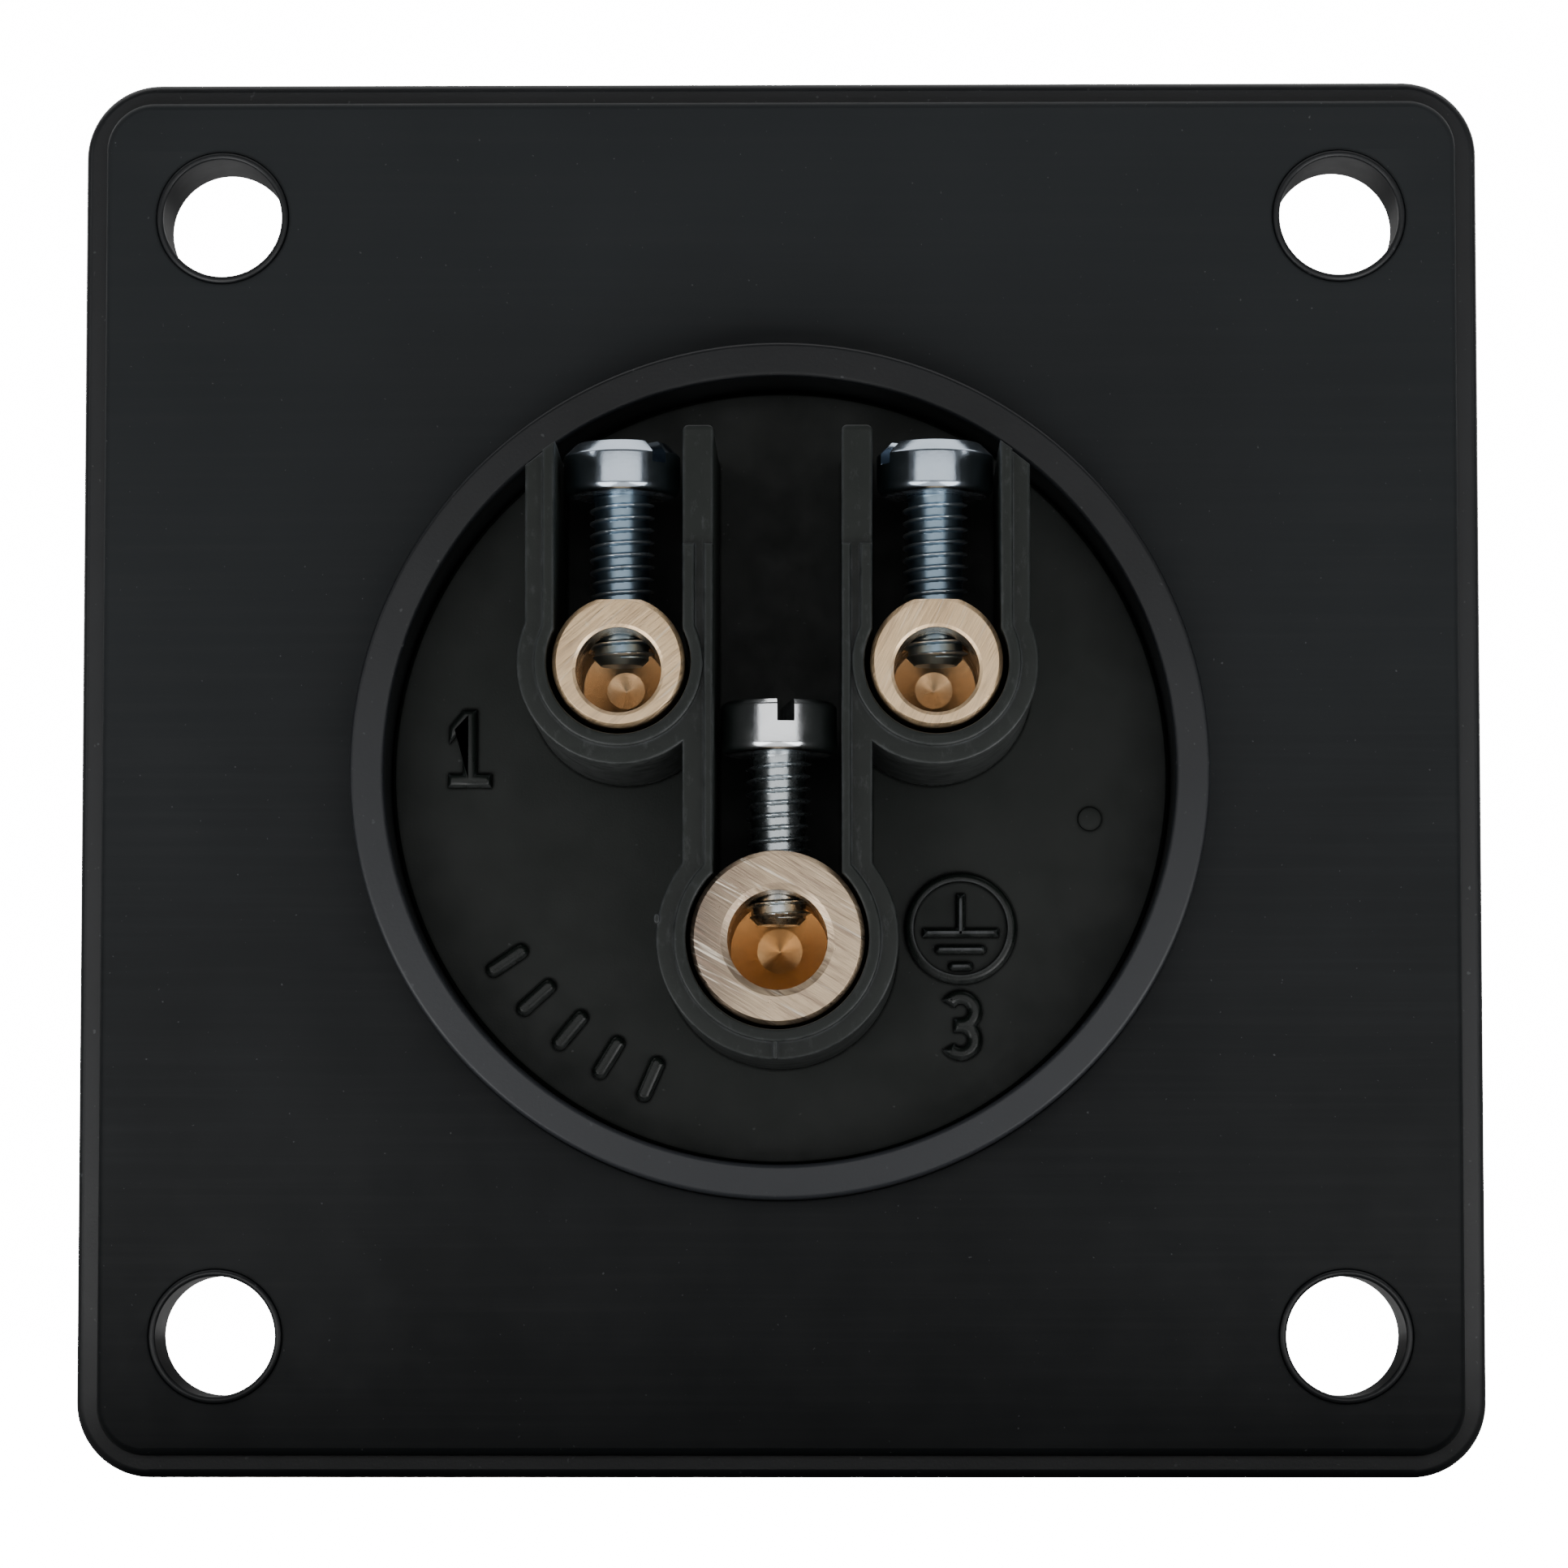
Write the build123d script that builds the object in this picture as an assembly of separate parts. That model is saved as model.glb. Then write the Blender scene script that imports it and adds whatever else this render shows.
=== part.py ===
from build123d import *
from math import cos, radians, sin, tan
import os

# Panel-mounted three-pole power inlet: a square flange with a round shroud in front and screw
# terminals behind. All sizes are in millimetres.
#
# Frame: +Y is the mating side (shroud and pins), -Y is the wiring side (terminals), +Z is up.
# The origin is the centre of the four fixing holes, on the flange's rear face.

# ---- flange and shroud -------------------------------------------------------------------
FLANGE_SIDE = 75.0
FLANGE_CORNER_R = 4.0
FLANGE_THICK = 4.0
FLANGE_FRONT_EDGE_R = 1.2
FLANGE_REAR_EDGE_R = 0.45
HOLE_SPACING = 60.0
HOLE_R = 3.18
HOLE_COLLAR_R = 3.55
HOLE_COLLAR_PROUD = 0.15
HOLE_COLLAR_EDGE_R = 0.16
RING_R = 22.8
RING_BORE_R = 20.95
RING_PROUD = 3.6
RING_EDGE = 0.2
ROOT_R = 23.05
SHROUD_R = 22.0
SHROUD_BORE_R = 19.3
SHROUD_MOUTH_Y = 42.0
SHROUD_FOOT_R = 1.5
SHROUD_LIP_R = 0.9
SHOULDER_Y = 4.4
KEY_WIDTH = 4.4
KEY_HEIGHT = 1.9
KEY_START_SETBACK = 3.0
LUG_WIDTH = 7.0
LUG_HEIGHT = 2.2
LUG_LENGTH = 4.0
LUG_SETBACK = 5.0
SNAP_ANGLES = (20, 160, 200, 340)
SNAP_WIDTH = 5.0
SNAP_REACH = 0.4
SNAP_LENGTH = 0.6

# ---- flange gasket -----------------------------------------------------------------------
GASKET_THICK = 1.0
GASKET_BORDER = 1.2
GASKET_CORNER_R = 2.6
GASKET_EDGE_R = 0.4
GASKET_GAP = 0.06

# ---- contact carrier ---------------------------------------------------------------------
FLOOR_Y = 1.2
FLOOR_R = 20.85
HUB_R = 19.1
HUB_FRONT_Y = 7.4
WALL = 1.55
WALL_REAR_Y = -11.6
LIP_REAR_Y = -12.1
LIP_WIDTH = 0.65
WALL_EDGE_R = 0.1
CHANNEL_WIDTH = 6.6
CHAMBER_ENVELOPE_R = 19.9
INNER_WALL_TOP = 17.1
INNER_WALL_CORNER_R = 0.3
INNER_LIP_TOP = 10.9
MARK_RELIEF = 0.3
MARK_STROKE = 0.75

# ---- contacts ----------------------------------------------------------------------------
PIN_CIRCLE_R = 9.5
LIVE_X = 8.2
LIVE_Z = 4.75
BARREL_REAR_Y = -12.0
BARREL_CHAMFER = 0.22
BORE_DEPTH = 11.0
DRILL_POINT_HALF_ANGLE = 59.0
PILOT_STEP = 0.3
NECK_FRONT_Y = 9.6
GROOVE_Y = 6.85
GROOVE_WIDTH = 0.55
GROOVE_DEPTH = 0.3
PIN_TIP_Y = 34.0

# ---- terminal screws ---------------------------------------------------------------------
SCREW_SETBACK = 4.6
HEAD_R = 3.05
HEAD_HEIGHT = 2.75
HEAD_FOOT_CHAMFER = 0.15
SLOT_WIDTH = 0.9
SLOT_DEPTH = 1.2
THREAD_R = 1.70
THREAD_CLEARANCE = 0.05
SCREW_LENGTH = 8.9
SCREW_POINT = 0.6

# ---- parts that hold the insert together ---------------------------------------------------
SEAL_SECTION_R = 0.72
SEAL_GROOVE_WIDTH = 1.7
SEAL_Y = 5.9
CLIP_THICK = 0.5
CLIP_WIDTH = 1.5
CLIP_SLIT = 1.2
PLATE_THICK = 1.6
PLATE_GAP = 0.15

# How near a measured value has to be to count as the same.
NEAR = 0.01

# Each pole: barrel axis, barrel and bore radii, how far the bore sits below the barrel's axis, its
# mouth chamfer and the pilot hole at its bottom, chamber seat radius, neck and pin radii, the flat
# on the barrel's top, and the screw head's underside, top chamfer and slot angle.
POLES = {
    "line": dict(
        x=-LIVE_X, z=LIVE_Z, barrel_r=3.43, bore_r=2.2, bore_drop=0.42, mouth=0.18, pilot_r=1.0,
        seat_r=3.72, neck_r=2.8, pin_r=2.5, flat=0.2, head_z=13.9, head_edge=0.65, slot_angle=132.0,
    ),
    "neutral": dict(
        x=LIVE_X, z=LIVE_Z, barrel_r=3.43, bore_r=2.2, bore_drop=0.42, mouth=0.18, pilot_r=1.0,
        seat_r=3.72, neck_r=2.8, pin_r=2.5, flat=0.2, head_z=13.9, head_edge=0.65, slot_angle=30.0,
    ),
    "earth": dict(
        x=0.0, z=-PIN_CIRCLE_R, barrel_r=4.5, bore_r=2.57, bore_drop=0.1, mouth=0.36, pilot_r=1.2,
        seat_r=4.7, neck_r=3.8, pin_r=3.5, flat=0.0, head_z=0.3, head_edge=0.25, slot_angle=98.0,
    ),
}


def rear_plane(y):
    """A plane at depth y that faces the rear, with its own x to the right and y up."""
    return Plane(origin=(0, y, 0), x_dir=(1, 0, 0), z_dir=(0, -1, 0))


def slab(outline, rear_y, front_y):
    """An outline drawn in X and Z, with thickness from rear_y to front_y."""
    return extrude(rear_plane(front_y) * outline, amount=front_y - rear_y)


def rounded_slab(outline, rear_y, front_y, radius):
    """A slab whose rear edges are rounded."""
    piece = slab(outline, rear_y, front_y)
    return fillet(flat_edges_at(piece, rear_y), radius)


def flat_edges_at(shape, y):
    """The edges that lie in the plane at depth y."""
    return shape.edges().filter_by(
        lambda e: abs(e.center().Y - y) < NEAR and e.bounding_box().size.Y < NEAR
    )


def disc(radius, rear_y, front_y, x=0.0, z=0.0):
    """A round slab whose axis runs along Y through (x, z)."""
    return slab(Pos(x, z) * Circle(radius), rear_y, front_y)


def turned_along_y(profile, x, z):
    """A turned piece from (radius, y) points, about the line through (x, z) along Y."""
    face = make_face(Polyline(*profile, close=True))
    return Pos(x, 0, z) * revolve(face, Axis.Y)


def on_circle(radius, angle):
    """The point in X and Z at an angle from +X towards +Z."""
    return radius * cos(radians(angle)), radius * sin(radians(angle))


def hole_centres():
    half = HOLE_SPACING / 2
    return [(sx * half, sz * half) for sx in (-1, 1) for sz in (-1, 1)]


def flange_plate():
    outline = RectangleRounded(FLANGE_SIDE, FLANGE_SIDE, FLANGE_CORNER_R)
    plate = slab(outline, 0, FLANGE_THICK)
    plate = fillet(plate.faces().sort_by(Axis.Y)[-1].edges(), FLANGE_FRONT_EDGE_R)
    return fillet(plate.faces().sort_by(Axis.Y)[0].edges(), FLANGE_REAR_EDGE_R)


def key_rib():
    """The coding rib along the outside of the shroud, on the earth side."""
    start = FLANGE_THICK
    end = SHROUD_MOUTH_Y - KEY_START_SETBACK
    height = KEY_HEIGHT + 1.0
    rib = Box(KEY_WIDTH, end - start, height)
    rib = fillet(rib.faces().sort_by(Axis.Y)[-1].edges() | Axis.X, 0.8)
    return Pos(0, (start + end) / 2, -(SHROUD_R + KEY_HEIGHT - height / 2)) * rib


def catch_lug():
    """The ramped lug on top of the shroud that a mating connector's cover hooks over."""
    front = SHROUD_MOUTH_Y - LUG_SETBACK
    base = SHROUD_R - 0.6
    top = SHROUD_R + LUG_HEIGHT
    profile = Polyline(
        (front - LUG_LENGTH, base),
        (front, base),
        (front - LUG_LENGTH * 0.6, top),
        (front - LUG_LENGTH, top),
        close=True,
    )
    side = Plane(origin=(-LUG_WIDTH / 2, 0, 0), x_dir=(0, 1, 0), z_dir=(1, 0, 0))
    return extrude(side * make_face(profile), amount=LUG_WIDTH)


def snap_noses():
    """Noses inside the rear ring that hold the contact carrier against its shoulder."""
    length = SNAP_REACH + 0.6
    noses = []
    for angle in SNAP_ANGLES:
        nose = Box(length, SNAP_LENGTH, SNAP_WIDTH)
        nose = chamfer(nose.faces().sort_by(Axis.X)[0].edges().group_by(Axis.Y)[0], SNAP_REACH * 0.6)
        radius = RING_BORE_R - SNAP_REACH + length / 2
        noses.append(Rot(0, -angle, 0) * Pos(radius, FLOOR_Y - 0.05 - SNAP_LENGTH / 2, 0) * nose)
    return noses


def flange_housing():
    ring = disc(RING_R, -RING_PROUD, FLANGE_THICK)
    ring = fillet(ring.faces().sort_by(Axis.Y)[0].edges(), RING_EDGE)
    shroud = disc(SHROUD_R, FLANGE_THICK / 2, SHROUD_MOUTH_Y)
    body = flange_plate() + ring + disc(ROOT_R, -GASKET_THICK, FLANGE_THICK / 2) + shroud
    foot = flat_edges_at(body, FLANGE_THICK).filter_by(GeomType.CIRCLE)
    foot = foot.filter_by(lambda e: abs(e.radius - SHROUD_R) < NEAR)
    body = fillet(foot, SHROUD_FOOT_R)
    for x, z in hole_centres():
        body += disc(HOLE_COLLAR_R, -GASKET_THICK - HOLE_COLLAR_PROUD, FLANGE_THICK / 2, x, z)
    body += key_rib()
    body += catch_lug()
    body -= disc(RING_BORE_R, -RING_PROUD, SHOULDER_Y)
    body -= disc(SHROUD_BORE_R, SHOULDER_Y, SHROUD_MOUTH_Y)
    for x, z in hole_centres():
        body -= disc(HOLE_R, -GASKET_THICK - HOLE_COLLAR_PROUD, FLANGE_THICK, x, z)
    body = fillet(flat_edges_at(body, SHROUD_MOUTH_Y), SHROUD_LIP_R)
    collar_y = -GASKET_THICK - HOLE_COLLAR_PROUD
    body = fillet(flat_edges_at(body, collar_y), HOLE_COLLAR_EDGE_R)
    for nose in snap_noses():
        body += nose
    return body


def flange_gasket():
    side = FLANGE_SIDE - 2 * GASKET_BORDER
    sheet = slab(RectangleRounded(side, side, GASKET_CORNER_R), -GASKET_THICK, 0)
    sheet = fillet(sheet.faces().sort_by(Axis.Y)[0].edges(), GASKET_EDGE_R)
    sheet -= disc(ROOT_R + GASKET_GAP, -GASKET_THICK, 0)
    for x, z in hole_centres():
        sheet -= disc(HOLE_COLLAR_R + GASKET_GAP, -GASKET_THICK, 0, x, z)
    return sheet


def terminal_spaces(grow=0.0):
    """The keyhole spaces of the three terminals: a round seat with a screw channel above it."""
    spaces = Sketch()
    for pole in POLES.values():
        spaces += Pos(pole["x"], pole["z"]) * Circle(pole["seat_r"] + grow)
        top = RING_BORE_R + WALL
        spaces += Pos(pole["x"], (pole["z"] + top) / 2) * Rectangle(
            CHANNEL_WIDTH + 2 * grow, top - pole["z"]
        )
    return spaces


def inner_wall(side):
    """The straight wall between a live channel and the earth channel."""
    x = side * (LIVE_X - CHANNEL_WIDTH / 2 + CHANNEL_WIDTH / 2) / 2
    thick = LIVE_X - CHANNEL_WIDTH
    bottom = POLES["earth"]["z"]
    middle = (bottom + INNER_WALL_TOP) / 2
    return Pos(x, middle) * RectangleRounded(thick, INNER_WALL_TOP - bottom, INNER_WALL_CORNER_R)


def chamber_walls():
    """The outline of the walls round the three terminals."""
    walls = Sketch()
    inner_x = CHANNEL_WIDTH / 2
    for side, name in ((-1, "line"), (1, "neutral")):
        pole = POLES[name]
        seat = Pos(pole["x"], pole["z"]) * Circle(pole["seat_r"] + WALL)
        beyond = Pos(side * (inner_x - 10), pole["z"]) * Rectangle(20, 20)
        walls += seat - beyond
        outer_x = side * (LIVE_X + (CHANNEL_WIDTH + WALL) / 2)
        height = RING_BORE_R - pole["z"]
        walls += Pos(outer_x, pole["z"] + height / 2) * Rectangle(WALL, height)
        walls += inner_wall(side)
    earth = POLES["earth"]
    walls += Pos(earth["x"], earth["z"]) * Circle(earth["seat_r"] + WALL)
    return (walls & Circle(CHAMBER_ENVELOPE_R)) - terminal_spaces()


def chamber_lip(walls):
    """The half of each wall next to its terminal, which stands a little higher."""
    lip = walls & terminal_spaces(LIP_WIDTH)
    above = INNER_WALL_TOP - INNER_LIP_TOP
    return lip - Pos(0, INNER_LIP_TOP + above / 2) * Rectangle(LIVE_X * 1.25, above + 1)


def stroke(x, z, length, width, angle=0.0):
    """A round-ended raised stroke, centred at (x, z)."""
    return Pos(x, z) * Rot(0, 0, angle) * SlotOverall(length, width)


def earth_symbol(x, z, radius):
    """The plain protective-earth sign: a circle round a stem and three bars."""
    sign = Circle(radius) - Circle(radius - MARK_STROKE * 0.75)
    sign += Pos(0, radius * 0.38) * Rectangle(MARK_STROKE * 0.8, radius * 0.95)
    for row, share in enumerate((1.35, 0.95, 0.5)):
        bar_z = -radius * (0.05 + 0.27 * row)
        sign += Pos(0, bar_z) * Rectangle(radius * share, MARK_STROKE * 0.62)
    return Pos(x, z) * sign


def numeral_one(x, z, height):
    digit = stroke(0, 0, height, MARK_STROKE, 90)
    digit += stroke(-MARK_STROKE * 0.8, height * 0.32, height * 0.38, MARK_STROKE, 45)
    digit += stroke(0, -height / 2 + MARK_STROKE / 2, height * 0.55, MARK_STROKE)
    return Pos(x, z) * digit


def numeral_three(x, z, height):
    bowl = height / 4 + MARK_STROKE / 4
    digit = Sketch()
    for row in (-1, 1):
        ring = Circle(bowl) - Circle(bowl - MARK_STROKE)
        gap = Pos(-bowl, -row * bowl * 0.35) * Rectangle(bowl * 1.6, bowl * 1.5)
        digit += Pos(0, row * (bowl - MARK_STROKE / 2)) * (ring - gap)
    return Pos(x, z) * digit


def floor_marks():
    """Raised moulded marks on the floor: terminal numbers, the earth sign and a row of dashes."""
    marks = numeral_one(-16.7, 1.5, 4.2)
    marks += earth_symbol(9.65, -8.2, 3.0)
    marks += numeral_three(9.65, -13.4, 3.6)
    for step in range(5):
        angle = 214 + 8.2 * step
        x, z = on_circle(17.7, angle)
        marks += stroke(x, z, 2.6, MARK_STROKE * 1.1, angle)
    return marks


def contact_carrier():
    walls = chamber_walls()
    body = disc(FLOOR_R, FLOOR_Y, SHOULDER_Y) + disc(HUB_R, SHOULDER_Y, HUB_FRONT_Y)
    body += rounded_slab(walls, WALL_REAR_Y, FLOOR_Y, WALL_EDGE_R)
    body += rounded_slab(chamber_lip(walls), LIP_REAR_Y, WALL_REAR_Y + WALL, WALL_EDGE_R)
    body += slab(floor_marks(), FLOOR_Y - MARK_RELIEF, FLOOR_Y + 0.5)
    groove = disc(HUB_R + 1, SEAL_Y - SEAL_GROOVE_WIDTH / 2, SEAL_Y + SEAL_GROOVE_WIDTH / 2)
    groove -= disc(SHROUD_BORE_R - 2 * SEAL_SECTION_R - 0.05, SHOULDER_Y, HUB_FRONT_Y)
    body -= groove
    for pole in POLES.values():
        x, z = pole["x"], pole["z"]
        body -= disc(pole["neck_r"] + 0.05, FLOOR_Y, HUB_FRONT_Y, x, z)
        pocket_r = pole["neck_r"] + CLIP_WIDTH + 0.2
        body -= disc(pocket_r, GROOVE_Y - 0.1, HUB_FRONT_Y, x, z)
    return body


def carrier_seal():
    ring_r = SHROUD_BORE_R - SEAL_SECTION_R - 0.02
    section = Pos(ring_r, SEAL_Y) * Circle(SEAL_SECTION_R)
    return revolve(section, Axis.Y)


def contact(pole):
    """A turned contact: a screw barrel behind, a necked shank in the carrier, a pin in front."""
    r, neck, pin = pole["barrel_r"], pole["neck_r"], pole["pin_r"]
    tip = pin * 0.72
    body = turned_along_y(
        [
            (0, BARREL_REAR_Y),
            (r - BARREL_CHAMFER, BARREL_REAR_Y),
            (r, BARREL_REAR_Y + BARREL_CHAMFER),
            (r, FLOOR_Y),
            (neck, FLOOR_Y),
            (neck, GROOVE_Y),
            (neck - GROOVE_DEPTH, GROOVE_Y),
            (neck - GROOVE_DEPTH, GROOVE_Y + GROOVE_WIDTH),
            (neck, GROOVE_Y + GROOVE_WIDTH),
            (neck, NECK_FRONT_Y),
            (pin, NECK_FRONT_Y + neck - pin),
            (pin, PIN_TIP_Y),
            (0, PIN_TIP_Y),
        ],
        pole["x"],
        pole["z"],
    )
    body = fillet(body.edges().sort_by(Axis.Y)[-1:], tip)
    bore_z = pole["z"] - pole["bore_drop"]
    bore_r, mouth = pole["bore_r"], pole["mouth"]
    bottom = BARREL_REAR_Y + BORE_DEPTH
    slope = 1 / tan(radians(DRILL_POINT_HALF_ANGLE))
    pilot_r = pole["pilot_r"]
    bore = [
        (0, BARREL_REAR_Y),
        (bore_r + mouth, BARREL_REAR_Y),
        (bore_r, BARREL_REAR_Y + mouth),
        (bore_r, bottom - PILOT_STEP - bore_r * slope),
        (pilot_r, bottom - PILOT_STEP - pilot_r * slope),
        (pilot_r, bottom - pilot_r * slope),
        (0, bottom),
    ]
    body -= turned_along_y(bore, pole["x"], bore_z)
    screw_y = BARREL_REAR_Y + SCREW_SETBACK
    hole = Cylinder(THREAD_R + THREAD_CLEARANCE, r + 1, align=(Align.CENTER, Align.CENTER, Align.MIN))
    body -= Pos(pole["x"], screw_y, bore_z) * hole
    if pole["flat"]:
        length = 2 * SCREW_SETBACK
        flat = Box(2 * r, length, r, align=(Align.CENTER, Align.MIN, Align.MIN))
        body -= Pos(pole["x"], BARREL_REAR_Y, pole["z"] + r - pole["flat"]) * flat
    return body


def terminal_screw(pole):
    """A slotted cheese-head screw whose point reaches into the barrel's bore."""
    underside = pole["head_z"]
    top = underside + HEAD_HEIGHT
    head = Cylinder(HEAD_R, HEAD_HEIGHT, align=(Align.CENTER, Align.CENTER, Align.MIN))
    head = chamfer(head.edges().sort_by(Axis.Z)[-1:], pole["head_edge"])
    head = chamfer(head.edges().sort_by(Axis.Z)[:1], HEAD_FOOT_CHAMFER)
    shank = Pos(0, 0, -SCREW_LENGTH) * Cylinder(
        THREAD_R, SCREW_LENGTH, align=(Align.CENTER, Align.CENTER, Align.MIN)
    )
    shank = chamfer(shank.edges().sort_by(Axis.Z)[:1], SCREW_POINT)
    slot = Box(2 * HEAD_R + 1, SLOT_WIDTH, 2 * SLOT_DEPTH)
    slot = Pos(0, 0, HEAD_HEIGHT) * Rot(0, 0, pole["slot_angle"]) * slot
    screw = (head + shank) - slot
    return Pos(pole["x"], BARREL_REAR_Y + SCREW_SETBACK, top - HEAD_HEIGHT) * screw


def retaining_ring(pole):
    """A sprung open ring in the neck's groove, which stops the contact pulling out."""
    inner = pole["neck_r"] - GROOVE_DEPTH + 0.03
    outer = pole["neck_r"] + CLIP_WIDTH
    ring = Circle(outer) - Circle(inner)
    ring -= Pos(0, outer / 2 + inner / 2) * Rectangle(CLIP_SLIT, outer)
    start = GROOVE_Y + (GROOVE_WIDTH - CLIP_THICK) / 2
    return slab(Pos(pole["x"], pole["z"]) * ring, start, start + CLIP_THICK)


def front_plate():
    """The insulating disc at the bottom of the shroud, which covers the retaining rings."""
    plate = disc(SHROUD_BORE_R - PLATE_GAP, HUB_FRONT_Y, HUB_FRONT_Y + PLATE_THICK)
    plate = chamfer(plate.faces().sort_by(Axis.Y)[-1].edges(), 0.4)
    for pole in POLES.values():
        hole_r = pole["neck_r"] + 0.1
        plate -= disc(hole_r, HUB_FRONT_Y, HUB_FRONT_Y + PLATE_THICK, pole["x"], pole["z"])
    return plate


def build_parts():
    parts = {
        "flange_housing": flange_housing(),
        "flange_gasket": flange_gasket(),
        "contact_carrier": contact_carrier(),
        "carrier_seal": carrier_seal(),
        "front_plate": front_plate(),
    }
    for name, pole in POLES.items():
        parts[f"{name}_contact_pin"] = contact(pole)
        parts[f"{name}_terminal_screw"] = terminal_screw(pole)
        parts[f"{name}_retaining_ring"] = retaining_ring(pole)
    return parts


os.makedirs("parts", exist_ok=True)
for node, shape in build_parts().items():
    export_step(shape, f"parts/{node}.step")
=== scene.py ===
from math import acos, asin, cos, degrees, hypot, pi, radians, sin, sqrt, tan

import bmesh
import bpy
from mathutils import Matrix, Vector
from mathutils.geometry import tessellate_polygon


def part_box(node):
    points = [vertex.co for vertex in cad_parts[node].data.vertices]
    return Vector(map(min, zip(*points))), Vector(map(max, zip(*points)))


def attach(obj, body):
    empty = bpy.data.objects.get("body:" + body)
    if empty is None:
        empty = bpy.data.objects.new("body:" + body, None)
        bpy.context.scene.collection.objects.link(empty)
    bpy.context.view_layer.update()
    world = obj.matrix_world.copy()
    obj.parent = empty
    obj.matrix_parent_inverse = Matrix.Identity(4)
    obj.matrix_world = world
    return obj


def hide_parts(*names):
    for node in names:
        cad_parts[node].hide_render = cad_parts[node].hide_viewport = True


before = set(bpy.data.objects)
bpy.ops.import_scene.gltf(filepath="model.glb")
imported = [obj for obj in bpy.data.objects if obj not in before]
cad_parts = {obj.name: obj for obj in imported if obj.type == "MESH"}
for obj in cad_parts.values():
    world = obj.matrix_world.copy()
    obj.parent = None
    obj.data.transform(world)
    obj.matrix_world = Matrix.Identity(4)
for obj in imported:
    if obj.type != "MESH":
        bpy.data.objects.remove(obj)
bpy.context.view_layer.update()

MM = 0.001


def node_box(node):
    """A CAD node's lowest and highest corners, in millimetres."""
    low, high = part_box(node)
    return low / MM, high / MM


# ---- sizes, in millimetres, in the frame's own axes: -Y is the wiring side, +Y the mating side ----

HOUSING_LOW, HOUSING_HIGH = node_box("flange_housing")
GASKET_LOW, GASKET_HIGH = node_box("flange_gasket")
CARRIER_LOW, CARRIER_HIGH = node_box("contact_carrier")
PLATE_LOW, PLATE_HIGH = node_box("front_plate")

# The flange, its holes, the rear ring and the shroud.
FLANGE_SIDE = HOUSING_HIGH.x - HOUSING_LOW.x
FLANGE_CORNER_R = 4.0
FLANGE_THICK = 4.0
FLANGE_REAR_EDGE = 0.45
FLANGE_FRONT_EDGE = 1.2
HOLE_SPACING = 60.0
HOLE_R = 3.18
HOLE_FRONT_EDGE = 0.3
COLLAR_R = 3.55
COLLAR_PROUD = 0.15
COLLAR_EDGE = 0.17
RING_R = 22.8
RING_BORE_R = 20.95
RING_REAR = HOUSING_LOW.y
RING_EDGE = 0.25
RING_FALL = 0.05
SHROUD_R = 22.0
SHROUD_BORE_R = 19.3
SHROUD_MOUTH = HOUSING_HIGH.y
SHROUD_LIP = 0.9
SHROUD_FOOT = 1.5
SHOULDER = 4.4
KEY_WIDTH = 4.4
KEY_HEIGHT = 1.9
KEY_SETBACK = 3.0
KEY_EDGE = 0.5
LUG_WIDTH = 7.0
LUG_HEIGHT = 2.2
LUG_LENGTH = 4.0
LUG_SETBACK = 5.0
LUG_RAMP = 0.6
LUG_ROOT = 0.6
LUG_EDGE = 0.25
LUG_TOP_EDGE = 0.4

# The gasket.
GASKET_CORNER_R = 2.6
GASKET_EDGE = 0.4
GASKET_FRONT_EDGE = 0.1
GASKET_GAP = 0.02
GASKET_HOLE_EDGE = 0.04
GASKET_HOLE_FRONT_EDGE = 0.02

# The insert's floor, hub and chamber walls, and the disc in front of it.
FLOOR = 1.2
FLOOR_R = (CARRIER_HIGH.x - CARRIER_LOW.x) / 2
FLOOR_EDGE = 0.15
HUB_R = 19.1
HUB_EDGE = 0.3
NECK_CLEARANCE = 0.05
PLATE_CLEARANCE = 0.1
PLATE_EDGES = (0.05, 0.4)
PLATE_HOLE_EDGES = (0.02, 0.15)
LIP_REAR = CARRIER_LOW.y
WALL_REAR = LIP_REAR + 0.5
WALL = 1.55
WALL_EDGE = 0.12
LIP_WIDTH = 0.65
EARTH_LIP_WIDTH = 0.5
LIP_INSET = 0.01
CHANNEL_HALF = 3.3
ENVELOPE_R = 19.9
INNER_WALL_TOP = 17.1
INNER_WALL_CORNER = 0.3
INNER_LIP_TOP = 10.9

# The raised marks on the insert's floor.
MARK_RELIEF = 0.5
MARK_EDGE = 0.3
MARK_STROKE = 0.75
MARK_EMBED = 0.4
SMALL_MARK_RELIEF = 0.12
SMALL_MARK_DROP = 0.12
SMALL_MARK_EDGE = 0.06
ONE_AT, ONE_HEIGHT = (-16.7, 1.5), 4.2
THREE_AT, THREE_HEIGHT = (9.65, -13.4), 3.8
SIGN_AT, SIGN_R = (9.65, -8.2), 3.0
SIGN_STROKE = MARK_STROKE * 0.62
SIGN_BAR_SHARE, SIGN_STEM_SHARE = 0.68, 0.62
SIGN_ROW_SHARES, SIGN_ROW_PITCH = (0.46, 0.22), 0.3
DASH_COUNT, DASH_ROW_R = 5, 17.7
DASH_START, DASH_PITCH = 214, 8.2
DASH_LENGTH, DASH_WIDTH = 2.6, MARK_STROKE * 1.1

# The contacts.
BARREL_REAR = -12.0
BARREL_CHAMFER = 0.22
BARREL_EDGE = 0.03
BORE_DEPTH = 11.0
DRILL_POINT = radians(59)
PILOT_POINT = radians(68)
PILOT_STEP = 0.3
TIP_R = 0.04
MOUTH_SLOPE = tan(radians(28))
MOUTH_OVERRUN = 0.2
FLAT_EDGE = 0.02
NECK_FRONT = 9.6
NECK_EDGE = 0.05
PIN_TIP = 34.0
PIN_TIP_ROUNDING = 0.72

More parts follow.
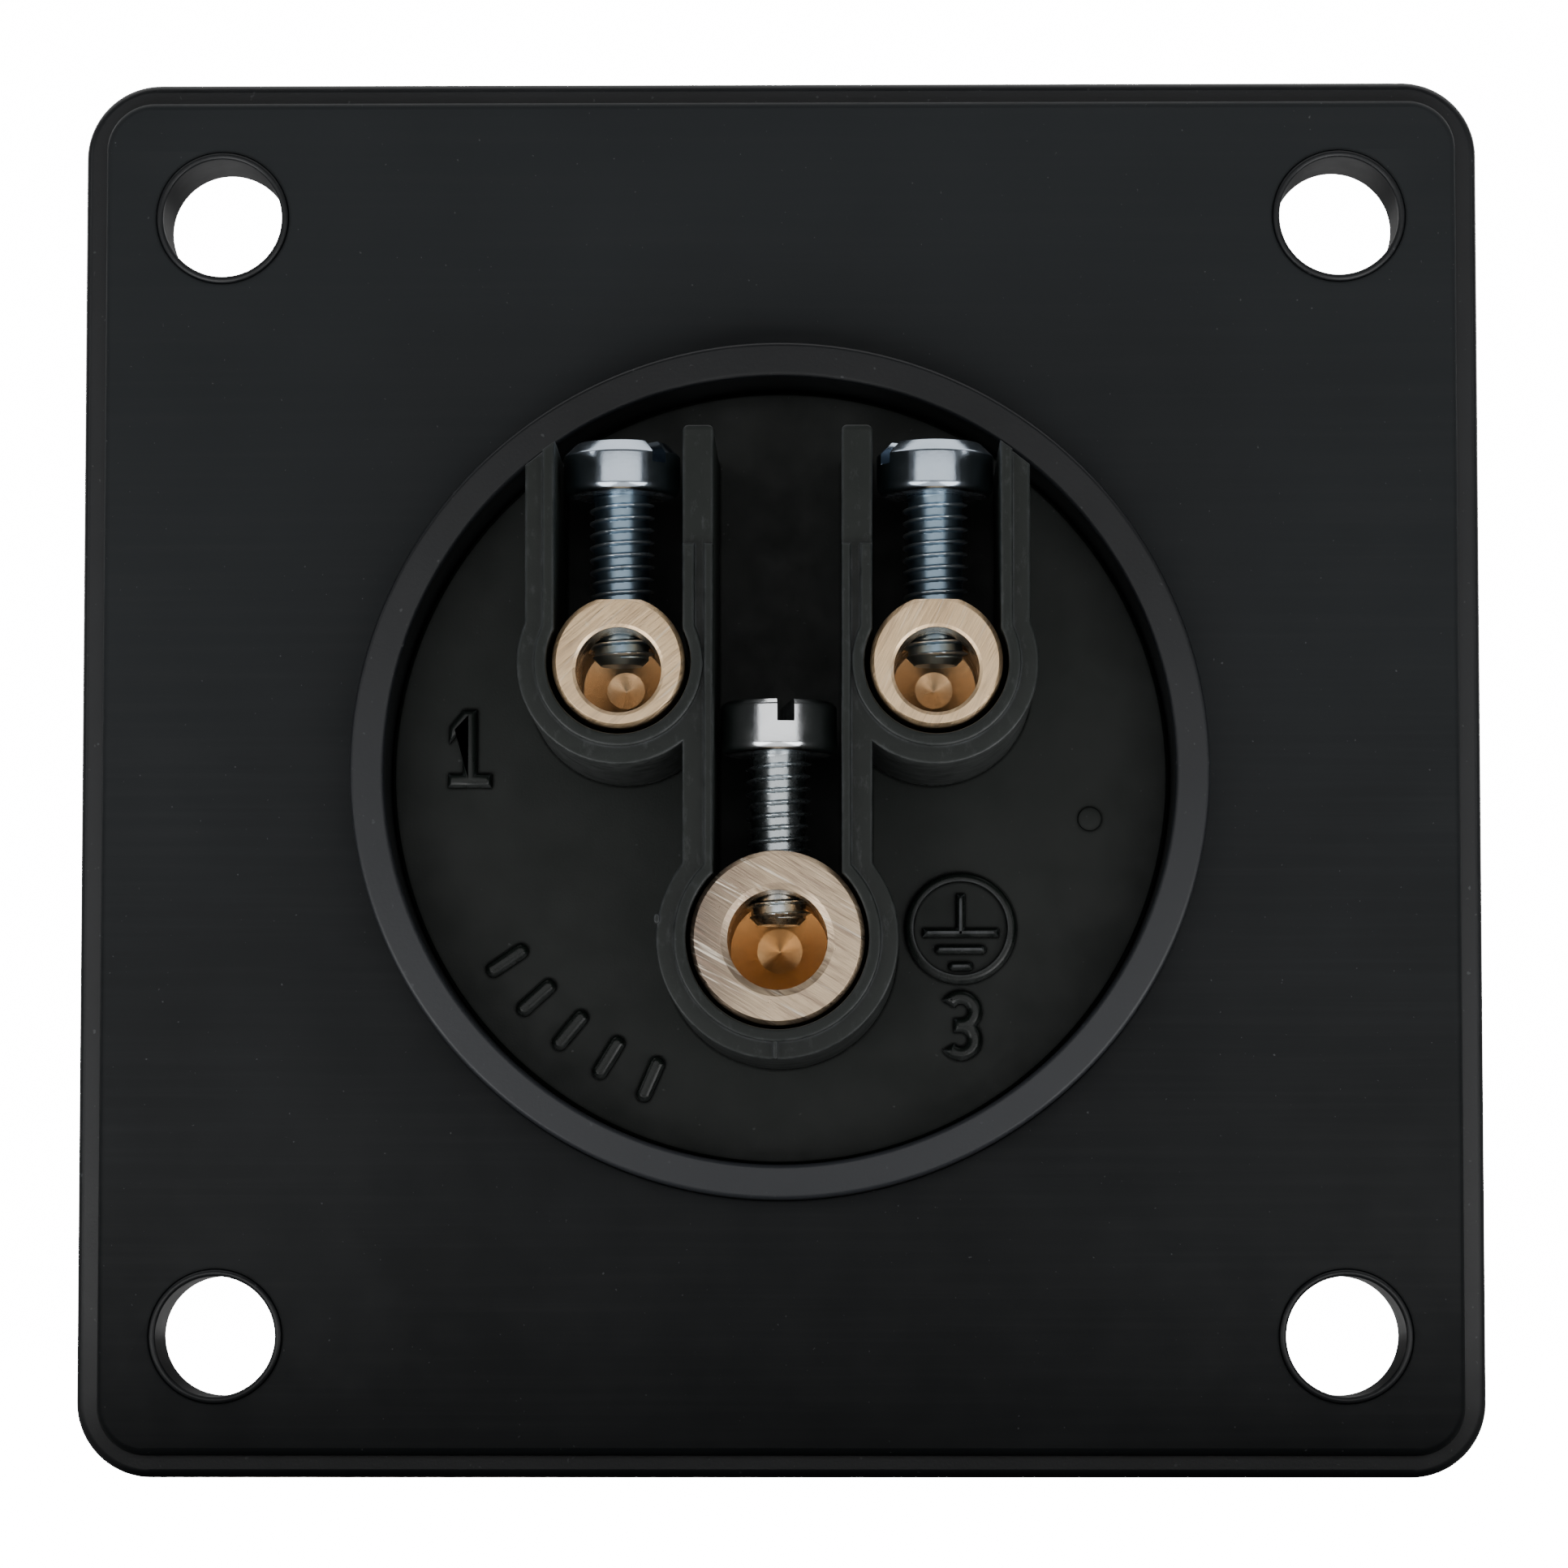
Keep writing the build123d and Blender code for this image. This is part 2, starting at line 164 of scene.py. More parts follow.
# The screws.
SCREW_SETBACK = 4.6
HEAD_R = 3.05
HEAD_HEIGHT = 2.75
HEAD_FOOT = 0.5
HEAD_EDGE = 0.2
SLOT_WIDTH = 0.9
SLOT_DEPTH = 1.2
SLOT_EDGE = 0.05
THREAD_CREST_R = 1.70
THREAD_ROOT_R = 1.42
THREAD_PITCH = 0.65
THREAD_FLANK = (0.58, 0.92)
THREAD_FADE = 0.6 * THREAD_PITCH
THREAD_ROWS = 22
THREAD_SIDES = 60
THREAD_SINK = 0.2
THREAD_HOLE_R = 1.75
SCREW_LENGTH = 8.9
SCREW_POINT = 0.6

# How finely round shapes are divided, in degrees, and rounded edges, in steps.
TURN_STEP = 3.75
FINE_TURN_STEP = 1.5
COARSE_TURN_STEP = 15
SOFT_STEPS = 4
FINE_STEPS = 6
TIP_STEPS = 8
BLOCK_STEPS = 3
SHARP_ANGLE = radians(24)
FLAT_WEIGHT = 80

# How far joined shapes sink into each other or cutting shapes stand out, and what counts as nothing.
EMBED = 1.0
BURIED_EDGE = 0.01
SAME_POINT = 1e-4
MERGE = 1e-7


class Pole:
    """One terminal: its barrel's axis and radii, its seat, and its screw's head and slot."""

    def __init__(self, name, bore_r, bore_drop, mouth, pilot_r, seat_r, neck_r, pin_r,
                 flat, head_edge, slot_angle):
        low, high = node_box(f"{name}_contact_pin")
        screw_high = node_box(f"{name}_terminal_screw")[1]
        self.name = name
        self.x = (low.x + high.x) / 2
        self.barrel_r = (high.x - low.x) / 2
        self.z = low.z + self.barrel_r
        self.bore_r = bore_r
        self.bore_z = self.z - bore_drop
        self.mouth = mouth
        self.pilot_r = pilot_r
        self.seat_r = seat_r
        self.neck_r = neck_r
        self.pin_r = pin_r
        self.flat = flat
        self.head_edge = head_edge
        self.slot_angle = slot_angle
        self.head_z = screw_high.z - HEAD_HEIGHT


# Each terminal's name, its bore's radius, drop below the barrel's axis and mouth, the radii of pilot
# hole, seat, neck and pin, the flat on the barrel's top, the head's edge and the slot's angle.
POLES = [
    Pole("line", 2.2, 0.42, 0.18, 1.0, 3.72, 2.8, 2.5, 0.2, 0.65, 132.0),
    Pole("neutral", 2.2, 0.42, 0.18, 1.0, 3.72, 2.8, 2.5, 0.2, 0.65, 30.0),
    Pole("earth", 2.57, 0.1, 0.36, 1.2, 4.7, 3.8, 3.5, 0.0, 0.25, 98.0),
]
NEUTRAL, EARTH = POLES[1:]


# ---- outlines and profiles -------------------------------------------------------------------

def arc(cx, cz, r, start, end, step=TURN_STEP):
    """Points round a centre, from start to end in degrees."""
    count = max(2, round(abs(end - start) / step))
    angles = [radians(start + (end - start) * i / count) for i in range(count + 1)]
    return [(cx + r * cos(a), cz + r * sin(a)) for a in angles]


def hole(cx, cz, r, step=TURN_STEP):
    """A round hole's outline, clockwise, so that the material is on its left."""
    return arc(cx, cz, r, 360, 0, step)[:-1]


def without_doubles(points):
    """A closed outline without points that repeat the one before."""
    steps = zip(points, points[-1:] + points[:-1])
    return [p for p, last in steps if hypot(p[0] - last[0], p[1] - last[1]) > SAME_POINT]


def mirrored(points):
    """The same points on the other side of x = 0, in the order that keeps the material on the left."""
    return [(-x, z) for x, z in reversed(points)]


def soft(points, closed=False, steps=SOFT_STEPS):
    """A line through (a, b) or (a, b, radius) points, rounded at the corners that have a radius."""
    line = []
    for i, point in enumerate(points):
        corner = Vector(point[:2])
        ends = not closed and i in (0, len(points) - 1)
        if len(point) == 2 or ends:
            line.append(tuple(corner))
            continue
        back = (Vector(points[i - 1][:2]) - corner).normalized()
        ahead = (Vector(points[(i + 1) % len(points)][:2]) - corner).normalized()
        half = back.angle(ahead) / 2
        centre = corner + (back + ahead).normalized() * point[2] / sin(half)
        start = corner + back * point[2] / tan(half) - centre
        turn = start.angle_signed(corner + ahead * point[2] / tan(half) - centre)
        for k in range(steps + 1):
            a = -turn * k / steps
            at = (start.x * cos(a) - start.y * sin(a), start.x * sin(a) + start.y * cos(a))
            line.append((centre.x + at[0], centre.y + at[1]))
    return line


def edge_profile(rear, front, rear_edge, front_edge):
    """A plain side with rounded edges, as (inset, y)."""
    corners = [(rear_edge, rear), (0, rear, rear_edge), (0, front, front_edge), (front_edge, front)]
    return soft(corners)[1:-1]


def moved_in(outline, inset):
    """An outline moved to its left by inset, with mitred corners."""
    count = len(outline)
    moved = []
    for i, (bx, bz) in enumerate(outline):
        ax, az = outline[i - 1]
        cx, cz = outline[(i + 1) % count]
        l1, l2 = hypot(bx - ax, bz - az), hypot(cx - bx, cz - bz)
        n1 = (-(bz - az) / l1, (bx - ax) / l1)
        n2 = (-(cz - bz) / l2, (cx - bx) / l2)
        share = inset / (1 + n1[0] * n2[0] + n1[1] * n2[1])
        moved.append((bx + (n1[0] + n2[0]) * share, bz + (n1[1] + n2[1]) * share))
    return moved


# ---- mesh building ---------------------------------------------------------------------------

def new_object(name, data):
    obj = bpy.data.objects.new(name, data)
    bpy.context.scene.collection.objects.link(obj)
    return obj


def mesh_object(name, bm):
    """A new object with a working mesh's shape. The working mesh is freed."""
    mesh = bpy.data.meshes.new(name)
    bm.to_mesh(mesh)
    bm.free()
    return new_object(name, mesh)


class Shell:
    """A mesh made of bands and caps that share their edges. Outlines lie in X and Z, or in Y and Z if
    sideways."""

    def __init__(self, sideways=False):
        self.bm = bmesh.new()
        self.sideways = sideways

    def vertex(self, a, along, b):
        at = (along, a, b) if self.sideways else (a, along, b)
        return self.bm.verts.new(Vector(at) * MM)

    def band(self, outline, sections):
        """Walls that follow an outline through sections of (inset, along)."""
        rings = [[self.vertex(a, y, b) for a, b in moved_in(outline, s)] for s, y in sections]
        self.join(rings)

    def join(self, rings):
        """Faces between each ring of vertices and the next; a ring may be a single point."""
        for low, high in zip(rings, rings[1:]):
            count = max(len(low), len(high))
            for i in range(count):
                j = (i + 1) % count
                corners = [low[i % len(low)], low[j % len(low)]]
                corners += [high[j % len(high)], high[i % len(high)]]
                face = [v for k, v in enumerate(corners) if v not in corners[:k]]
                if len(face) > 2:
                    self.bm.faces.new(face)

    def cap(self, loops, y):
        """A flat face with holes; loops are (outline, inset), the outer one first."""
        moved = [moved_in(outline, inset) for outline, inset in loops]
        verts = [self.vertex(a, y, b) for loop in moved for a, b in loop]
        for triangle in tessellate_polygon([[Vector((a, b, 0)) for a, b in loop] for loop in moved]):
            self.bm.faces.new([verts[i] for i in triangle])

    def slab(self, outline, rear, front, rear_edge, front_edge=BURIED_EDGE, holes=()):
        """A flat piece with rounded edges. Holes keep sharp edges."""
        self.band(outline, edge_profile(rear, front, rear_edge, front_edge))
        for h in holes:
            self.band(h, [(0, rear), (0, front)])
        self.cap([(outline, rear_edge)] + [(h, 0) for h in holes], rear)
        self.cap([(outline, front_edge)] + [(h, 0) for h in holes], front)

    def sheet(self, outline, holes, rear, front, edges, hole_edges):
        """A flat piece whose holes are rounded too; edges are (rear, front) radii."""
        self.band(outline, edge_profile(rear, front, *edges))
        for h in holes:
            self.band(h, edge_profile(rear, front, *hole_edges))
        for end, y in enumerate((rear, front)):
            self.cap([(outline, edges[end])] + [(h, hole_edges[end]) for h in holes], y)

    def turned(self, profile, x=0.0, z=0.0, step=TURN_STEP, upright=0.0, up=False):
        """A turned shape from (radius, along) points, about a line along Y through (x, z), or along Z
        through (x, upright) if up."""
        count = round(360 / step)
        rings = []
        for r, along in profile:
            turn = [2 * pi * i / count for i in range(count if r > SAME_POINT else 1)]
            if up:
                ring = [self.vertex(x + r * cos(a), upright + r * sin(a), along) for a in turn]
            else:
                ring = [self.vertex(x + r * cos(a), along, z + r * sin(a)) for a in turn]
            rings.append(ring)
        self.join(rings)

    def finish(self, name):
        bmesh.ops.remove_doubles(self.bm, verts=self.bm.verts, dist=MERGE)
        bmesh.ops.recalc_face_normals(self.bm, faces=self.bm.faces)
        return smooth(mesh_object(name, self.bm))


def smooth(obj):
    """Smooth shading, with edges above the sharp angle kept hard and flat faces kept flat."""
    obj.modifiers.clear()
    obj.data.shade_smooth()
    obj.data.set_sharp_from_angle(angle=SHARP_ANGLE)
    weighted = obj.modifiers.new("weighted", "WEIGHTED_NORMAL")
    weighted.keep_sharp = True
    weighted.weight = FLAT_WEIGHT
    return obj


def combine(obj, other, operation):
    """obj with other added to it or cut away, as one closed mesh."""
    obj.modifiers.clear()
    other.modifiers.clear()
    boolean = obj.modifiers.new("boolean", "BOOLEAN")
    boolean.operation = operation
    boolean.solver = "EXACT"
    boolean.object = other
    depsgraph = bpy.context.evaluated_depsgraph_get()
    mesh = bpy.data.meshes.new_from_object(obj.evaluated_get(depsgraph))
    obj.modifiers.clear()
    old = obj.data
    obj.data = mesh
    bpy.data.meshes.remove(old)
    bpy.data.objects.remove(other)
    return smooth(obj)


def block(low, high, edge):
    """A box between two corners, with rounded edges."""
    bm = bmesh.new()
    bmesh.ops.create_cube(bm, size=1)
    for v in bm.verts:
        v.co = Vector([(lo + (hi - lo) * (c + 0.5)) * MM for lo, hi, c in zip(low, high, v.co)])
    bmesh.ops.bevel(
        bm, geom=bm.edges[:], offset=edge * MM, segments=BLOCK_STEPS, profile=0.5, affect="EDGES")
    return smooth(mesh_object("block", bm))


# ---- the housing and its gasket --------------------------------------------------------------

def rounded_square(side, r):
    """A square with round corners, anticlockwise."""
    c = side / 2 - r
    corners = ((c, c, 0), (-c, c, 90), (-c, -c, 180), (c, -c, 270))
    return [p for x, z, start in corners for p in arc(x, z, r, start, start + 90)]


def hole_centres():
    half = HOLE_SPACING / 2
    return [(sx * half, sz * half) for sx in (-1, 1) for sz in (-1, 1)]


def make_housing():
    """The flange with its hole collars, the rear ring and the front shroud, as one moulding."""
    shell = Shell()
    outer = rounded_square(FLANGE_SIDE, FLANGE_CORNER_R)
    shell.band(outer, edge_profile(0, FLANGE_THICK, FLANGE_REAR_EDGE, FLANGE_FRONT_EDGE))
    ring_and_shroud = soft([
        (RING_R, 0),
        (RING_R, RING_REAR + RING_FALL, RING_EDGE),
        (RING_BORE_R, RING_REAR, RING_EDGE),
        (RING_BORE_R, SHOULDER),
        (SHROUD_BORE_R, SHOULDER),
        (SHROUD_BORE_R, SHROUD_MOUTH, SHROUD_LIP),
        (SHROUD_R, SHROUD_MOUTH, SHROUD_LIP),
        (SHROUD_R, FLANGE_THICK, SHROUD_FOOT),
        (SHROUD_R + SHROUD_FOOT, FLANGE_THICK),
    ], steps=FINE_STEPS)
    shell.turned(ring_and_shroud[:-1], step=FINE_TURN_STEP)
    collar_rear = GASKET_LOW.y - COLLAR_PROUD
    collar = soft([
        (COLLAR_R, 0),
        (COLLAR_R, collar_rear, COLLAR_EDGE),
        (HOLE_R, collar_rear, COLLAR_EDGE),
        (HOLE_R, FLANGE_THICK - HOLE_FRONT_EDGE),
        (HOLE_R + HOLE_FRONT_EDGE, FLANGE_THICK),
    ])
    rear_loops = [(outer, FLANGE_REAR_EDGE), (hole(0, 0, RING_R, FINE_TURN_STEP), 0)]
    front_loops = [(outer, FLANGE_FRONT_EDGE), (hole(0, 0, SHROUD_R + SHROUD_FOOT, FINE_TURN_STEP), 0)]
    for x, z in hole_centres():
        shell.turned(collar, x, z)
        rear_loops.append((hole(x, z, COLLAR_R), 0))
        front_loops.append((hole(x, z, HOLE_R + HOLE_FRONT_EDGE), 0))
    shell.cap(rear_loops, 0)
    shell.cap(front_loops, FLANGE_THICK)
    housing = shell.finish("housing")
    key_low = (-KEY_WIDTH / 2, FLANGE_THICK - EMBED, -SHROUD_R - KEY_HEIGHT)
    key_high = (KEY_WIDTH / 2, SHROUD_MOUTH - KEY_SETBACK, -SHROUD_R + EMBED)
    combine(housing, block(key_low, key_high, KEY_EDGE), "UNION")
    return combine(housing, make_lug(), "UNION")


def make_lug():
    """The ramped lug on top of the shroud that a mating connector's cover hooks over."""
    front = SHROUD_MOUTH - LUG_SETBACK
    top = SHROUD_R + LUG_HEIGHT
    side = soft([
        (front - LUG_LENGTH, SHROUD_R - LUG_ROOT),
        (front, SHROUD_R - LUG_ROOT),
        (front - LUG_LENGTH * LUG_RAMP, top, LUG_TOP_EDGE),
        (front - LUG_LENGTH, top, LUG_TOP_EDGE),
    ], closed=True)
    shell = Shell(sideways=True)
    shell.slab(side, -LUG_WIDTH / 2, LUG_WIDTH / 2, LUG_EDGE, LUG_EDGE)
    return shell.finish("lug")


def make_gasket():
    """The rubber sheet between the flange and the panel."""
    side = GASKET_HIGH.x - GASKET_LOW.x
    outer = rounded_square(side, GASKET_CORNER_R)
    holes = [hole(0, 0, RING_R + GASKET_GAP, FINE_TURN_STEP)]
    holes += [hole(x, z, COLLAR_R + GASKET_GAP) for x, z in hole_centres()]
    edges = (GASKET_EDGE, GASKET_FRONT_EDGE)
    hole_edges = (GASKET_HOLE_EDGE, GASKET_HOLE_FRONT_EDGE)
    shell = Shell()
    shell.sheet(outer, holes, GASKET_LOW.y, GASKET_HIGH.y, edges, hole_edges)
    return shell.finish("gasket")


# ---- the contact carrier ---------------------------------------------------------------------

def angle_at(pole, r, x, z_side=1):
    """The angle where a circle round a pole's axis meets the upright line at x."""
    return z_side * degrees(acos((x - pole.x) / r))


def top_at(x):
    """How high a wall at x reaches before it meets the envelope's circle."""
    return sqrt(ENVELOPE_R ** 2 - x ** 2)


def wall_outline():
    """The walls round the three terminals, anticlockwise: the right half, then its mirror image."""
    seat, earth_seat = NEUTRAL.seat_r, EARTH.seat_r
    outer, earth_outer = seat + WALL, earth_seat + WALL
    inner_x = NEUTRAL.x - CHANNEL_HALF
    void_x = NEUTRAL.x + CHANNEL_HALF
    outer_x = void_x + WALL
    corner = INNER_WALL_CORNER
    right = arc(EARTH.x, EARTH.z, earth_outer, -90, angle_at(EARTH, earth_outer, inner_x))
    start = angle_at(NEUTRAL, outer, inner_x, -1)
    right += arc(NEUTRAL.x, NEUTRAL.z, outer, start, angle_at(NEUTRAL, outer, outer_x))
    right += [(outer_x, top_at(outer_x)), (void_x, top_at(void_x))]
    start = angle_at(NEUTRAL, seat, void_x)
    right += arc(NEUTRAL.x, NEUTRAL.z, seat, start, -180 - start)
    right += arc(inner_x - corner, INNER_WALL_TOP - corner, corner, 0, 90, COARSE_TURN_STEP)
    right += arc(CHANNEL_HALF + corner, INNER_WALL_TOP - corner, corner, 90, 180, COARSE_TURN_STEP)
    right += arc(EARTH.x, EARTH.z, earth_seat, angle_at(EARTH, earth_seat, CHANNEL_HALF), -90)
    return without_doubles(right + mirrored(right))


def live_lip_outline():
    """The raised inner half of the neutral chamber's wall."""
    seat = NEUTRAL.seat_r
    grown = seat + LIP_WIDTH
    inner_x = NEUTRAL.x - CHANNEL_HALF
    void_x = NEUTRAL.x + CHANNEL_HALF
    far_x = void_x + LIP_WIDTH
    points = [(inner_x - LIP_WIDTH, INNER_LIP_TOP)]
    start = angle_at(NEUTRAL, grown, inner_x - LIP_WIDTH)
    points += arc(NEUTRAL.x, NEUTRAL.z, grown, start, 360 + angle_at(NEUTRAL, grown, far_x))
    points += [(far_x, top_at(far_x)), (void_x, top_at(void_x))]
    start = angle_at(NEUTRAL, seat, void_x)
    points += arc(NEUTRAL.x, NEUTRAL.z, seat, start, -180 - start)
    points.append((inner_x, INNER_LIP_TOP))
    return points


def earth_lip_outline():
    """The raised inner half of the earth chamber's wall."""
    seat = EARTH.seat_r
    grown = seat + LIP_WIDTH
    far_x = CHANNEL_HALF + EARTH_LIP_WIDTH
    right = arc(EARTH.x, EARTH.z, grown, -90, angle_at(EARTH, grown, far_x))
    right += [(far_x, INNER_LIP_TOP), (CHANNEL_HALF, INNER_LIP_TOP)]
    right += arc(EARTH.x, EARTH.z, seat, angle_at(EARTH, seat, CHANNEL_HALF), -90)
    return without_doubles(right + mirrored(right))


def rotated(points, x, z, angle):
    """Points turned by an angle in degrees and then moved to (x, z)."""
    c, s = cos(radians(angle)), sin(radians(angle))
    return [(x + a * c - b * s, z + a * s + b * c) for a, b in points]


def dash(length, width):
    """A round-ended stroke along its own first axis."""
    half = length / 2 - width / 2
    end = arc(half, 0, width / 2, -90, 90, COARSE_TURN_STEP)
    return end + arc(-half, 0, width / 2, 90, 270, COARSE_TURN_STEP)


def numeral_one(height):
    """A straight stem with a flag and a foot bar."""
    half = MARK_STROKE / 2
    top, foot = height / 2, height * 0.28
    bar = -top + MARK_STROKE
    flag_x, flag_z = -foot * 0.95, top - foot * 0.8
    return [
        (-foot, -top), (foot, -top), (foot, bar), (half, bar), (half, top), (-half, top),
        (flag_x, flag_z), (flag_x, flag_z - 2.4 * half),
        (-half, top - 2.8 * half), (-half, bar), (-foot, bar),
    ]


def numeral_three(height):
    """Two open bowls, one above the other, with a short spur between them."""
    half = MARK_STROKE / 2
    bowl = (height - MARK_STROKE) / 4
    outer, inner = bowl + half, bowl - half
    waist = degrees(asin(bowl / outer))
    step, end = COARSE_TURN_STEP, 150
    outline = arc(0, -bowl, outer, -end, waist, step) + arc(0, bowl, outer, -waist, end, step)
    outline += arc(0, bowl, inner, end, -90, step) + [(-half, half), (-half, -half)]
    return without_doubles(outline + arc(0, -bowl, inner, 90, -end, step))


def floor_marks():
    """The raised marks on the floor, as (outline, holes): two numerals, the earth sign, the dashes."""
    marks = [(rotated(numeral_one(ONE_HEIGHT), *ONE_AT, 0), ())]
    marks.append((rotated(numeral_three(THREE_HEIGHT), *THREE_AT, 0), ()))
    (x, z), r, s = SIGN_AT, SIGN_R, SIGN_STROKE
    marks.append((arc(x, z, r, 0, 360)[:-1], (hole(x, z, r - s),)))
    bar, stem_top = r * SIGN_BAR_SHARE, r * SIGN_STEM_SHARE
    stem = [
        (-bar, -s), (bar, -s), (bar, 0), (s / 2, 0),
        (s / 2, stem_top), (-s / 2, stem_top), (-s / 2, 0), (-bar, 0),
    ]
    marks.append((rotated(stem, x, z, 0), ()))
    for row, share in enumerate(SIGN_ROW_SHARES, 1):
        row_z = z - s / 2 - row * r * SIGN_ROW_PITCH
        marks.append((rotated(dash(2 * r * share, s), x, row_z, 0), ()))
    for k in range(DASH_COUNT):
        turn = DASH_START + DASH_PITCH * k
        at = (DASH_ROW_R * cos(radians(turn)), DASH_ROW_R * sin(radians(turn)))
        marks.append((rotated(dash(DASH_LENGTH, DASH_WIDTH), *at, turn), ()))
    return marks


def small_marks():
    """The ticks on the earth chamber's wall and the ejector mark, as (outline, rear, front)."""
    tick = rotated(dash(0.95, 0.24), -0.1, EARTH.z - 5.75, 90)
    side_tick = rotated(dash(0.5, 0.3), EARTH.x - 6.2, EARTH.z + 1.0, 90)
    ejector = arc(16.6, -2.3, 0.65, 0, 360, COARSE_TURN_STEP)[:-1]
    return [
        (tick, LIP_REAR + SMALL_MARK_DROP, WALL_REAR + EMBED / 2),
        (side_tick, WALL_REAR - SMALL_MARK_RELIEF, WALL_REAR + EMBED / 2),
        (ejector, FLOOR - SMALL_MARK_RELIEF, FLOOR + MARK_EMBED),
    ]


def make_carrier():
    """The insert: a round floor with a hub in front, keyhole chambers behind, and raised marks."""
    shell = Shell()
    side = soft([
        (FLOOR_R - FLOOR_EDGE, FLOOR),
        (FLOOR_R, FLOOR + FLOOR_EDGE),
        (FLOOR_R, SHOULDER),
        (HUB_R, SHOULDER),
        (HUB_R, CARRIER_HIGH.y, HUB_EDGE),
        (HUB_R - HUB_EDGE, CARRIER_HIGH.y),
    ])[:-1]
    shell.turned(side, step=FINE_TURN_STEP)
    holes = [hole(p.x, p.z, p.neck_r + NECK_CLEARANCE) for p in POLES]
    for h in holes:
        shell.band(h, [(0, FLOOR), (0, CARRIER_HIGH.y)])
    for r, y in ((FLOOR_R - FLOOR_EDGE, FLOOR), (HUB_R - HUB_EDGE, CARRIER_HIGH.y)):
        outer = arc(0, 0, r, 0, 360, FINE_TURN_STEP)[:-1]
        shell.cap([(outer, 0)] + [(h, 0) for h in holes], y)
    carrier = shell.finish("carrier")

    def add(outline, rear, front, edge, holes=()):
        raised = Shell()
        raised.slab(outline, rear, front, edge, holes=holes)
        combine(carrier, raised.finish("raised"), "UNION")

    add(wall_outline(), WALL_REAR, FLOOR + EMBED / 2, WALL_EDGE)
    live_lip = live_lip_outline()
    for outline in (live_lip, mirrored(live_lip), earth_lip_outline()):
        add(moved_in(outline, LIP_INSET), LIP_REAR, WALL_REAR + EMBED, WALL_EDGE)
    for outline, rear, front in small_marks():
        add(outline, rear, front, SMALL_MARK_EDGE)
    for outline, gaps in floor_marks():
        add(outline, FLOOR - MARK_RELIEF, FLOOR + MARK_EMBED, MARK_EDGE, gaps)
    return carrier


def make_front_plate():
    """The insulating disc at the bottom of the shroud."""
    r = (PLATE_HIGH.x - PLATE_LOW.x) / 2
    outer = arc(0, 0, r, 0, 360, FINE_TURN_STEP)[:-1]
    holes = [hole(p.x, p.z, p.neck_r + PLATE_CLEARANCE) for p in POLES]
    shell = Shell()
    shell.sheet(outer, holes, PLATE_LOW.y, PLATE_HIGH.y, PLATE_EDGES, PLATE_HOLE_EDGES)
    return shell.finish("insulating_disc")


# ---- contacts and screws ---------------------------------------------------------------------

def make_contact(p):
    """A turned contact: a screw barrel behind, a necked shank in the carrier, a pin in front."""
    body = Shell()
    body.turned(soft([
        (0, BARREL_REAR),
        (p.barrel_r - BARREL_CHAMFER, BARREL_REAR, BARREL_EDGE),
        (p.barrel_r, BARREL_REAR + BARREL_CHAMFER, BARREL_EDGE),
        (p.barrel_r, FLOOR),
        (p.neck_r, FLOOR),
        (p.neck_r, NECK_FRONT, NECK_EDGE),
        (p.pin_r, NECK_FRONT + p.neck_r - p.pin_r, NECK_EDGE),
        (p.pin_r, PIN_TIP, p.pin_r * PIN_TIP_ROUNDING),
        (0, PIN_TIP),
    ], steps=TIP_STEPS), p.x, p.z)
    contact = body.finish(f"{p.name}_contact")
    bottom = BARREL_REAR + BORE_DEPTH
    slope, pilot_slope = 1 / tan(DRILL_POINT), 1 / tan(PILOT_POINT)
    reach = p.mouth + MOUTH_OVERRUN
    bore = Shell()
    bore.turned(soft([
        (0, BARREL_REAR - EMBED),
        (p.bore_r + reach, BARREL_REAR - EMBED),
        (p.bore_r + reach, BARREL_REAR - MOUTH_OVERRUN * MOUTH_SLOPE),
        (p.bore_r, BARREL_REAR + p.mouth * MOUTH_SLOPE),
        (p.bore_r, bottom - PILOT_STEP - p.bore_r * slope),
        (p.pilot_r, bottom - PILOT_STEP - p.pilot_r * slope),
        (p.pilot_r, bottom - p.pilot_r * pilot_slope),
        (TIP_R, bottom - TIP_R * pilot_slope),
        (0, bottom),
    ]), p.x, p.bore_z, step=FINE_TURN_STEP * 2)
    combine(contact, bore.finish("bore"), "DIFFERENCE")
    drill = Shell()
    outside = p.z + p.barrel_r + EMBED
    drill.turned(
        [(0, p.bore_z), (THREAD_HOLE_R, p.bore_z), (THREAD_HOLE_R, outside), (0, outside)],
        p.x, up=True, upright=BARREL_REAR + SCREW_SETBACK,
    )
    combine(contact, drill.finish("drill"), "DIFFERENCE")
    if p.flat:
        low = (p.x - p.barrel_r, BARREL_REAR - EMBED, p.z + p.barrel_r - p.flat)
        high = (p.x + p.barrel_r, BARREL_REAR + 2 * SCREW_SETBACK, outside)
        combine(contact, block(low, high, FLAT_EDGE), "DIFFERENCE")
    return contact


def thread_radius(turn_share):
    """The thread's radius at a share of one pitch: flat crest, flat root and two flanks."""
    start, end = THREAD_FLANK
    s = abs((turn_share % 1.0) - 0.5) * 2
    lift = min(1.0, max(0.0, (s - start) / (end - start)))
    return THREAD_ROOT_R + (THREAD_CREST_R - THREAD_ROOT_R) * lift


